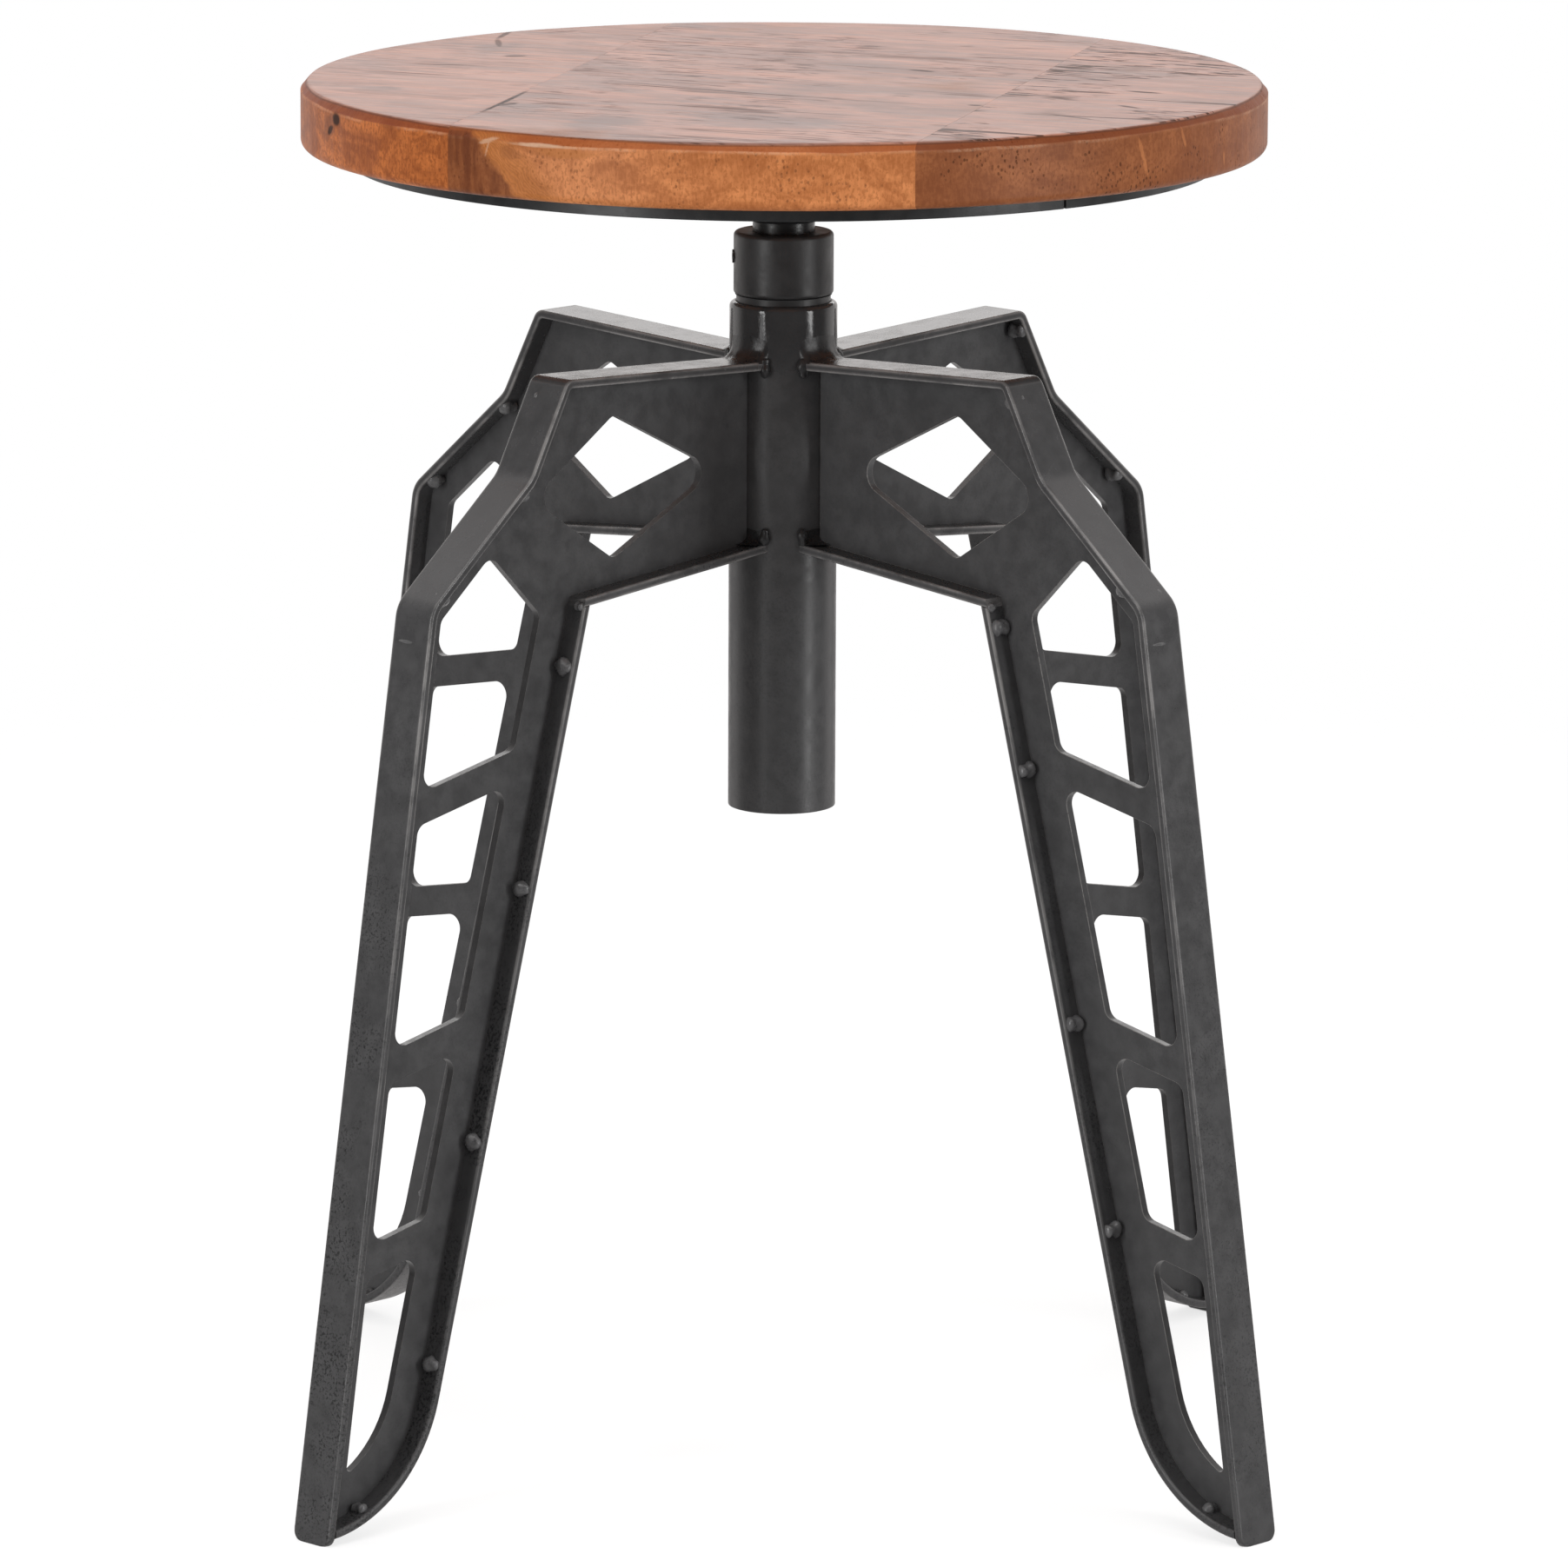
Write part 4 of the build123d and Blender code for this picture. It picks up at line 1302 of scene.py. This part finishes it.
def plank_top(nodes, entry, spot, moved, cluster):
    """Planed top: bands, stains, dashes and cracks, all drawn out along the saw marks.

    Gives the wood, the dashes and the grain.
    """
    marks = nodes.placed(moved, turn=MARK_TURN)
    bands = nodes.streaks(marks, (7, 46, 7), 4.0, 0.55, 0.6)
    grain = nodes.streaks(marks, (26, 330, 26), 3.0, 0.6)
    mottle = nodes.streaks(marks, (60, 110, 60), 4.0, 0.65, shift=(5, 3, 0))
    dash = nodes.streaks(marks, (62, 430, 62), 2.0, 0.5)
    crack = nodes.streaks(marks, (3, 42, 3), 2.0, 0.5, shift=(4, 2, 0))
    broken = nodes.streaks(marks, (14, 30, 14), 2.0, shift=(9, 1, 0))
    cloud = nodes.streaks(marks, (9, 26, 9), 4.0, 0.6, 0.4, shift=(1, 7, 0))
    thin = nodes.window(nodes.math("ABSOLUTE", nodes.minus(crack, 0.5)), 0.016, 0.007)
    cracks = nodes.times(thin, nodes.window(broken, 0.50, 0.58))
    away = nodes.measure("DISTANCE", spot, entry["Rough place"])
    rough_place = nodes.plus(cluster, nodes.window(away, 85 * MM, 30 * MM, 0.0, 0.20))
    dashes = nodes.times(nodes.window(dash, 0.55, 0.60), nodes.window(rough_place, 0.50, 0.58))
    dashes = nodes.math("MAXIMUM", dashes, cracks)
    dashes = nodes.math("MULTIPLY", dashes, entry["Marks"], clamp=True)
    tone = nodes.plus(
        nodes.window(bands, 0.25, 0.75, 0.0, 0.42), nodes.window(grain, 0.36, 0.64, 0.0, 0.33),
        nodes.window(mottle, 0.3, 0.7, 0.0, 0.30),
    )
    wood = nodes.mix(tone, entry["Top dark"], entry["Top light"])
    wood = nodes.mix(nodes.times(nodes.window(cloud, 0.42, 0.64), entry["Stains"]), wood, entry["Stain"])
    wood = nodes.mix(nodes.times(dashes, 0.85), wood, entry["Mark"])
    return wood, dashes, grain


def plank_side(nodes, entry, moved, fleck, patch):
    """Sawn edge: fibres and figure drawn out upwards, flecks, and cells for the pores.

    Gives the wood and the pores.
    """
    fibre = nodes.streaks(moved, (800, 800, 190), 3.0, 0.65)
    figure = nodes.streaks(moved, (34, 34, 70), 4.0, 0.6, 1.2, shift=(2, 6, 1))
    drawn = nodes.placed(moved, scale=(1, 1, 0.7))
    cells = nodes.add("TexVoronoi", {"Vector": drawn, "Scale": 640.0}).outputs["Distance"]
    pores = nodes.times(nodes.window(cells, 0.34, 0.18), nodes.window(patch, 0.48, 0.60))
    pores = nodes.math("MULTIPLY", pores, entry["Pores"], clamp=True)
    tone = nodes.plus(
        nodes.window(figure, 0.32, 0.68, 0.0, 0.75), nodes.window(fibre, 0.32, 0.68, 0.0, 0.30)
    )
    wood = nodes.mix(tone, entry["Dark"], entry["Light"])
    wood = nodes.mix(nodes.window(fleck, 0.50, 0.60, 0.0, 0.55), wood, entry["Dark"])
    wood = nodes.mix(nodes.times(pores, 0.65), wood, entry["Mark"])
    return wood, pores


@once
def plank_group():
    """Lacquered plank: the planed top, the sawn edge and the worn edge between them.

    Depth below the top, uneven by noise, decides which of the two shows, where the worn edge's darker
    band lies and where its lower side is rubbed pale.
    """
    nodes, entry, leave = new_group(
        "lacquered_plank",
        {
            "Light": "colour", "Dark": "colour", "Top light": "colour", "Top dark": "colour",
            "Mark": "colour", "Stain": "colour", "Edge highlight": "colour", "Shift": "vector", "Marks": "value",
            "Stains": "value", "Pores": "value", "Top": "value", "Bevel": "value", "Rough place": "vector",
        },
        {"Colour": "colour", "Roughness": "value", "Lacquer": "value", "Height": "value"},
    )
    spot = nodes.object_place()
    moved = nodes.vector("ADD", spot, entry["Shift"])
    cluster = nodes.noise(nodes.placed(moved, shift=(0.3, 0.9, 0)), 17.0, 3.0, 0.6)
    patch = nodes.noise(nodes.placed(moved, shift=(1.3, 0.2, 0.5)), 42.0, 3.0, 0.6)
    fleck = nodes.streaks(moved, (950, 950, 620), 2.0, 0.5, shift=(3, 1, 2))
    top_wood, dashes, grain = plank_top(nodes, entry, spot, moved, cluster)
    side_wood, pores = plank_side(nodes, entry, moved, fleck, patch)

    wobble = nodes.times(nodes.minus(cluster, 0.5), 1.4 * MM)
    level = nodes.minus(nodes.minus(entry["Top"], nodes.axis(spot)), wobble)
    depth = nodes.math("DIVIDE", level, entry["Bevel"])
    on_top = nodes.window(depth, 0.24, 0.12)
    low = nodes.plus(depth, nodes.window(cluster, 0.3, 0.7, -0.16, 0.20))
    # Painted shade: a darker band over the worn edge's bevel
    band_shade = nodes.times(nodes.window(depth, 0.14, 0.26), nodes.window(low, 1.02, 0.86))
    band_shaded_wood = nodes.mix(1.0, entry["Dark"], opaque(BAND_SHADE), "MULTIPLY")
    side_wood = nodes.mix(nodes.times(band_shade, 0.75), side_wood, band_shaded_wood)
    wood = nodes.mix(on_top, side_wood, top_wood)
    # Painted shade: a dark line where the top breaks over into the worn edge
    edge_break_shade = nodes.times(nodes.window(depth, 0.10, 0.20), nodes.window(depth, 0.40, 0.26))
    wood = nodes.mix(nodes.times(edge_break_shade, 0.45), wood, entry["Mark"])
    # Painted highlight: a pale, patchy line along the lower side of the worn edge
    worn = nodes.times(nodes.window(low, 0.84, 1.00), nodes.window(low, 1.34, 1.08))
    rub = nodes.times(
        worn, nodes.window(patch, 0.40, 0.62, 0.05, 0.60), nodes.window(fleck, 0.36, 0.56, 0.25, 1.0)
    )
    open_wood = nodes.mix(on_top, pores, dashes)
    gloss = nodes.window(on_top, 0.0, 1.0, EDGE_LACQUER, LACQUER)
    nodes.feed(leave, {
        "Colour": nodes.mix(rub, wood, nodes.mix(0.45, entry["Light"], entry["Edge highlight"])),
        "Roughness": nodes.window(grain, 0.3, 0.7, 0.46, 0.60),
        "Lacquer": nodes.times(gloss, nodes.window(open_wood, 0.0, 1.0, 1.0, 0.1)),
        "Height": nodes.minus(nodes.times(grain, 0.25), open_wood),
    })
    return nodes.tree


# Figure of each board: shift of its noise, strength of its marks, stains and pores, and a rough place
PLANKS = {
    "left": {"Shift": (0.31, 0.12, 0.0), "Marks": 0.30, "Stains": 0.20, "Pores": 0.35,
             "Rough place": (0.0, 0.140, 0.510)},
    "middle": {"Shift": (0.83, 0.47, 0.2), "Marks": 0.55, "Stains": 0.50, "Pores": 0.6,
               "Rough place": (0.020, 0.062, 0.510)},
    "right": {"Shift": (1.57, 0.91, 0.4), "Marks": 1.10, "Stains": 0.40, "Pores": 0.9,
              "Rough place": (0.130, -0.055, 0.510)},
}

# Knots of each board, in millimetres: a place on its slanted line, the way across that line, and reach
SEAT_KNOTS = {"left": (), "middle": (((-175, -27, 498), (0.0, -0.71, 0.71), 36.0),), "right": ()}

# Single marks on the tops of the boards, in millimetres: colour, start, end, width, tear and strength
TOP_MARKS = {
    "left": (
        ("stain", (-22, 132), (2, 152), 12, 1.2, 0.50),
        ("saw_mark", (30, 175), (9, 161), 1.7, 0.9, 0.75),
        ("saw_mark", (11, 163), (-9, 141), 1.7, 0.9, 0.65),
        ("saw_mark", (-26, 122), (-19, 117), 2.6, 0.8, 0.90),
        ("saw_mark", (-92, 129), (-76, 91), 1.2, 0.7, 0.75),
        ("saw_mark", (-68, 133), (-51, 110), 1.2, 0.7, 0.75),
        ("saw_mark", (33, 162), (50, 157), 1.4, 0.7, 0.60),
        ("stain", (-129, 95), (-119, 76), 9, 0.6, 0.35),
    ),
    "middle": (
        ("stain", (-141, 4), (-112, 21), 15, 1.4, 0.50),
        ("stain", (-137, -23), (-122, -50), 26, 1.4, 0.60),
        ("stain", (-108, -41), (-70, -110), 24, 1.4, 0.52),
        ("stain", (-40, -80), (-21, -118), 20, 1.4, 0.36),
        ("golden", (92, 124), (97, 112), 9, 1.4, 0.20),
        ("golden", (113, 122), (118, 108), 9, 1.4, 0.18),
        ("saw_mark", (-152, 7.4), (-84, 46.7), 1.4, 0.6, 0.95),
        ("saw_mark", (-125, 22), (-115, 23), 2.6, 1.2, 0.85),
        ("saw_mark", (-62, 64), (-14, -79), 1.2, 0.8, 0.75),
        ("saw_mark", (-92, 11), (-49, -100), 1.2, 0.8, 0.70),
        ("saw_mark", (-113, 18), (-104, 12), 1.4, 0.6, 0.70),
        ("saw_mark", (16, 91), (23, 77), 1.4, 0.7, 0.60),
        ("saw_mark", (-20, 33), (-14, 27), 1.6, 0.7, 0.65),
        ("saw_mark", (13, 29), (20, 23), 1.9, 0.5, 0.85),
        ("saw_mark", (55, -11), (57, -22), 2.1, 0.5, 0.90),
        ("saw_mark", (-2, -96), (-1, -99), 2.0, 0.8, 0.80),
        ("saw_mark", (-114, -77), (-91, -116), 1.3, 0.9, 0.35),
        ("saw_mark", (-96, -126), (-90, -139), 1.3, 0.7, 0.40),
        ("saw_mark", (-70, -97), (-65, -108), 1.5, 0.7, 0.35),
    ),
    "right": (
        ("stain", (72, -58), (92, -84), 18, 0.6, 0.40),
        ("saw_mark", (67, -109), (71, -123), 2.0, 0.6, 0.90),
        ("saw_mark", (96, -82), (99, -92), 1.9, 0.6, 0.85),
        ("saw_mark", (82, -76), (85, -86), 1.7, 0.6, 0.80),
        ("saw_mark", (143, -25), (146, -31), 2.2, 0.7, 0.85),
        ("saw_mark", (131, -63), (135, -67), 2.2, 0.8, 0.80),
        ("saw_mark", (36, -133), (34.5, -146), 2.0, 0.7, 0.80),
        ("saw_mark", (1, -127), (0, -162), 1.4, 0.8, 0.70),
    ),
}

# Single marks on their edges, in millimetres: colour, start, end, width, height, tear and strength
EDGE_MARKS = {
    "left": (
        ("knot", (-165, 66, 504.0), (-162, 74, 499), 5, 5, 0.6, 0.55),
        ("saw_mark", (-166.5, 62.8, 504.4), (-165.5, 65.4, 504.4), 3, 3.1, 0.4, 0.97),
        ("saw_mark", (-164.6, 67.6, 501.2), (-163, 71.6, 498.6), 3, 1.8, 0.6, 0.92),
    ),
    "middle": (
        ("knot", (-175.2, -31, 503.5), (-174, -38, 502), 3.0, 3, 1.2, 0.30),
        ("bare_wood_and_highlight", (-176.4, -20, 504.8), (-175.4, -28, 507.0), 2.0, 1.2, 1.6, 0.55),
        ("bare_wood_and_highlight", (-176, -25.5, 506), (-176.2, -24, 501.5), 2.0, 0.7, 1.6, 0.42),
        # A painted highlight along the rounded edge, and its golden glow just below
        ("bare_wood_and_highlight", (-174.6, -33, 506.2), (-165, -66, 506.2), 3.0, 1.0, 1.2, 0.75),
        ("golden", (-172, -42, 504.2), (-164, -68, 504.2), 4.0, 2.6, 0.9, 0.60),
    ),
    "right": (
        ("middle_light", (-2, -178, 505.6), (3.7, -178, 490), 3, 1.2, 1.5, 0.40),
        ("middle_light", (22, -176.6, 507), (25.4, -176.2, 499.4), 3, 1.0, 1.5, 0.36),
        ("middle_light", (52.4, -170.1, 496), (53, -170, 489), 3, 0.8, 1.2, 0.35),
    ),
}

# Height of a mark on a top, in millimetres
TOP_MARK_HEIGHT = 2

# Marks that the lacquer doesn't fill
OPEN_MARKS = ("saw_mark", "bare_wood_and_highlight")


def knotted(nodes, wood, place, across, reach):
    """A knot in the sawn edge: dark heartwood up to a slanted line, and golden growth bands past it.

    The distance across the line, torn by noise, decides which of the two shows; a sine of it makes the
    bands. Both fade out at reach from the place, and under the worn top edge.
    """
    spot = nodes.object_place()
    local = nodes.vector("SUBTRACT", spot, place)
    torn = nodes.times(nodes.minus(nodes.noise(spot, 90.0, 3.0, 0.6), 0.5), 9 * MM)
    past = nodes.plus(nodes.measure("DOT_PRODUCT", local, across), torn)
    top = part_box("seat_board_middle")[1].z
    near = nodes.window(nodes.measure("LENGTH", local), reach, 0.6 * reach)
    close = nodes.times(near, nodes.window(nodes.axis(spot), top, top - 2 * MM))
    bands = nodes.math("SINE", nodes.times(past, 2 * pi / (1.1 * MM)))
    golden = nodes.mix(nodes.window(bands, -1.0, 1.0, 0.70, 1.0), tint("knot"), tint("golden"))
    beside = nodes.times(nodes.window(past, -1.5 * MM, 1.5 * MM), nodes.window(past, 17 * MM, 7 * MM))
    wood = nodes.mix(nodes.times(beside, close, 0.65), wood, golden)
    shade = nodes.window(nodes.streaks(spot, (300, 300, 60), 3.0), 0.3, 0.7, 0.62, 0.95)
    heart = nodes.times(nodes.window(past, 1.5 * MM, -1.5 * MM), close, shade)
    return nodes.mix(heart, wood, tint("knot"))


@once
def plank_wood(board):
    """Wood of one board: the shared plank with its own colours, and the board's own marks."""
    material, nodes, shader = new_material(f"plank_{board}")
    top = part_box("seat_board_middle")[1].z
    plank = nodes.group(plank_group(), {
        "Light": tint(f"{board}_light"), "Dark": tint(f"{board}_dark"),
        "Top light": tint("top_light"), "Top dark": tint("top_dark"),
        "Mark": tint("saw_mark"), "Stain": tint("stain"), "Edge highlight": tint("bare_wood_and_highlight"),
        "Top": top, "Bevel": seat().top_round, **PLANKS[board],
    }).outputs
    wood = plank["Colour"]
    lacquer = plank["Lacquer"]
    for place, across, reach in SEAT_KNOTS[board]:
        wood = knotted(nodes, wood, Vector(place) * MM, across, reach * MM)
    marks = [
        (hue, (*start, top / MM), (*end, top / MM), width, TOP_MARK_HEIGHT, tear, strength)
        for hue, start, end, width, tear, strength in TOP_MARKS[board]
    ]
    for hue, start, end, width, height, tear, strength in (*marks, *EDGE_MARKS[board]):
        start, end = Vector(start) * MM, Vector(end) * MM
        way = end - start
        size = Vector((way.length / 2 + min(width, height) * MM, width * MM, height * MM))
        turn = way.to_track_quat("X", "Z").inverted().to_euler()
        inputs = {"Place": (start + end) / 2, "Size": size, "Turn": turn, "Tear": tear}
        share = nodes.times(nodes.group(mark_group(), inputs).outputs["Mask"], strength)
        wood = nodes.mix(share, wood, tint(hue))
        if hue in OPEN_MARKS:
            lacquer = nodes.times(lacquer, nodes.minus(1.0, share))
    nodes.feed(shader, {
        "Base Color": wood, "Roughness": plank["Roughness"], "Coat Weight": lacquer,
        "Normal": nodes.bump(plank["Height"], 0.6, 0.35 * MM),
        "Specular IOR Level": 0.08, "Coat Roughness": 0.42, "Coat IOR": 1.43,
    })
    return material


# Stage: soft boxes, with turn from the camera and rise in degrees, distance, width, height and power
SOFT_BOXES = (
    ("left_strip", -46, 6, 2.4, 0.45, 2.2, 22),
    ("right_strip", 59, 6, 2.4, 0.45, 2.2, 22),
    ("top_box", 0, 75, 2.2, 1.6, 1.6, 12),
    ("back_box", 180, 35, 2.6, 1.8, 1.8, 14),
)


class STOOL_OT_stage(bpy.types.Operator):
    """Set the floor, the light and the camera"""

    bl_idname = "stool.stage"
    bl_label = "Stage"
    bl_options = {"REGISTER", "UNDO"}

    def execute(self, context):
        scene = context.scene
        scene.view_settings.view_transform = "Standard"
        stage = scene.stool_stage
        self.make_floor(scene, stage)
        self.make_world(scene, stage)
        self.make_lamps(scene, stage)
        self.make_camera(scene, stage)
        return {"FINISHED"}

    def make_floor(self, scene, stage):
        """A wide pale disc that fades into the white behind it, clear from below."""
        angle = np.linspace(2 * pi, 0, 65)[:-1]
        reach = np.array([0.0, 0.4, 1.0, 2.0, 3.5])[:, None]
        sunk = np.full((reach.size, angle.size), -0.05 * MM)
        grid = np.stack([reach * np.cos(angle), reach * np.sin(angle), sunk], axis=-1)
        vertices, faces = grid_shape(grid, close_v=True)
        mesh = bpy.data.meshes.new("floor")
        mesh.from_pydata(vertices.tolist(), [], faces)
        material, nodes, shader = new_material("pale_floor")
        spot = nodes.object_place()
        fade = nodes.window(nodes.measure("LENGTH", spot), 0.30, 1.5, 0.5, 0.0)
        mottle = nodes.window(nodes.noise(spot, 6.0, 3.0), 0.3, 0.7, 0.985, 1.0)
        above = nodes.minus(1.0, nodes.add("NewGeometry").outputs["Backfacing"])
        path = nodes.add("LightPath").outputs
        seen = nodes.math("MAXIMUM", path["Is Camera Ray"], path["Is Transmission Ray"])
        nodes.feed(shader, {
            "Base Color": nodes.mix(1.0, opaque(stage.floor), nodes.grey(mottle), "MULTIPLY"),
            "Roughness": 0.7,
            "Specular IOR Level": 0.2,
            "Alpha": nodes.times(above, fade),
            "Emission Color": (1, 1, 1, 1),
            "Emission Strength": nodes.times(seen, stage.floor_lift),
        })
        mesh.materials.append(material)
        floor = bpy.data.objects.new("floor", mesh)
        scene.collection.objects.link(floor)

    def make_world(self, scene, stage):
        """White behind the stool and overhead, darker behind the camera, and a plain level for soft light."""
        world = bpy.data.worlds.new("studio")
        scene.world = world
        world.use_nodes = True
        nodes = Nodes(world.node_tree)
        way = nodes.add("TexCoord").outputs["Generated"]
        ahead = (-sin(stage.bearing), cos(stage.bearing), 0)
        behind = nodes.window(nodes.measure("DOT_PRODUCT", way, ahead), -0.1, 0.6)
        bright = nodes.math("MAXIMUM", behind, nodes.window(nodes.axis(way), 0.5, 0.9))
        mirrored = nodes.window(bright, 0.0, 1.0, stage.dark_side, 1.0)
        path = nodes.add("LightPath").outputs
        seen = nodes.math("MAXIMUM", path["Is Camera Ray"], path["Is Transmission Ray"])
        level = nodes.add("Mix", {0: path["Is Glossy Ray"], 2: stage.room, 3: mirrored}).outputs[0]
        nodes.feed(world.node_tree.nodes["Background"], {
            "Color": nodes.mix(seen, opaque(stage.room_tint), (1, 1, 1, 1)),
            "Strength": nodes.math("MAXIMUM", level, seen),
        })

    def make_lamps(self, scene, stage):
        """Soft boxes: a tall strip to each side of the camera, a weak one overhead and one behind."""
        for name, turn, rise, far, wide, tall, power in SOFT_BOXES:
            lamp = bpy.data.lights.new(name, "AREA")
            lamp.shape = "RECTANGLE"
            lamp.size = wide
            lamp.size_y = tall
            lamp.energy = power
            holder = bpy.data.objects.new(name, lamp)
            scene.collection.objects.link(holder)
            plan = stage.bearing - pi / 2 + radians(turn)
            lift = radians(rise)
            way = Vector((cos(plan) * cos(lift), sin(plan) * cos(lift), sin(lift)))
            holder.location = Vector((0, 0, 0.3)) + way * far
            holder.rotation_euler = way.to_track_quat("Z", "Y").to_euler()
            holder.visible_camera = False

    def make_camera(self, scene, stage):
        """A long lens at the photograph's angle; the aim is measured across the picture and up."""
        lens = bpy.data.cameras.new("camera")
        lens.sensor_width = 36.0
        lens.lens = stage.lens
        camera = bpy.data.objects.new("camera", lens)
        scene.collection.objects.link(camera)
        right = Vector((cos(stage.bearing), sin(stage.bearing), 0))
        ahead = Vector((-sin(stage.bearing), cos(stage.bearing), 0))
        target = right * stage.aim[0] + Vector((0, 0, stage.aim[1]))
        back = -ahead * cos(stage.elevation) + Vector((0, 0, sin(stage.elevation)))
        camera.location = target + back * stage.distance
        turn = Matrix((right, back.cross(right), back)).transposed()
        camera.rotation_euler = (turn @ Euler((0, 0, stage.roll)).to_matrix()).to_euler()
        scene.camera = camera


class STOOL_PT_panel(bpy.types.Panel):
    """Sidebar panel with the settings and the operators"""

    bl_idname = "STOOL_PT_panel"
    bl_label = "Stool"
    bl_space_type = "VIEW_3D"
    bl_region_type = "UI"
    bl_category = "Stool"

    def draw(self, context):
        for name in SETTINGS:
            group = getattr(context.scene, name)
            box = self.layout.box()
            for key in group.bl_rna.properties.keys():
                if key not in ("rna_type", "name"):
                    box.prop(group, key)
        for operator in OPERATORS:
            self.layout.operator(operator.bl_idname)


OPERATORS = (
    STOOL_OT_leg_bars, STOOL_OT_leg_webs, STOOL_OT_welds, STOOL_OT_hub, STOOL_OT_screw, STOOL_OT_seat_frame,
    STOOL_OT_seat_boards, STOOL_OT_stage,
)
SETTINGS = {
    "stool_legs": StoolLegSettings, "stool_seat": StoolSeatSettings, "stool_finish": StoolFinishSettings,
    "stool_stage": StoolStageSettings,
}


def register():
    for kind in (*SETTINGS.values(), *OPERATORS, STOOL_PT_panel):
        bpy.utils.register_class(kind)
    for name, kind in SETTINGS.items():
        setattr(bpy.types.Scene, name, PointerProperty(type=kind))


def unregister():
    for name in SETTINGS:
        delattr(bpy.types.Scene, name)
    for kind in reversed((*SETTINGS.values(), *OPERATORS, STOOL_PT_panel)):
        bpy.utils.unregister_class(kind)


def main():
    register()
    bpy.ops.stool.leg_bars()
    bpy.ops.stool.leg_webs()
    bpy.ops.stool.welds()
    bpy.ops.stool.hub()
    bpy.ops.stool.screw()
    bpy.ops.stool.seat_frame()
    bpy.ops.stool.seat_boards()
    bpy.ops.stool.stage()


if __name__ == "__main__":
    main()
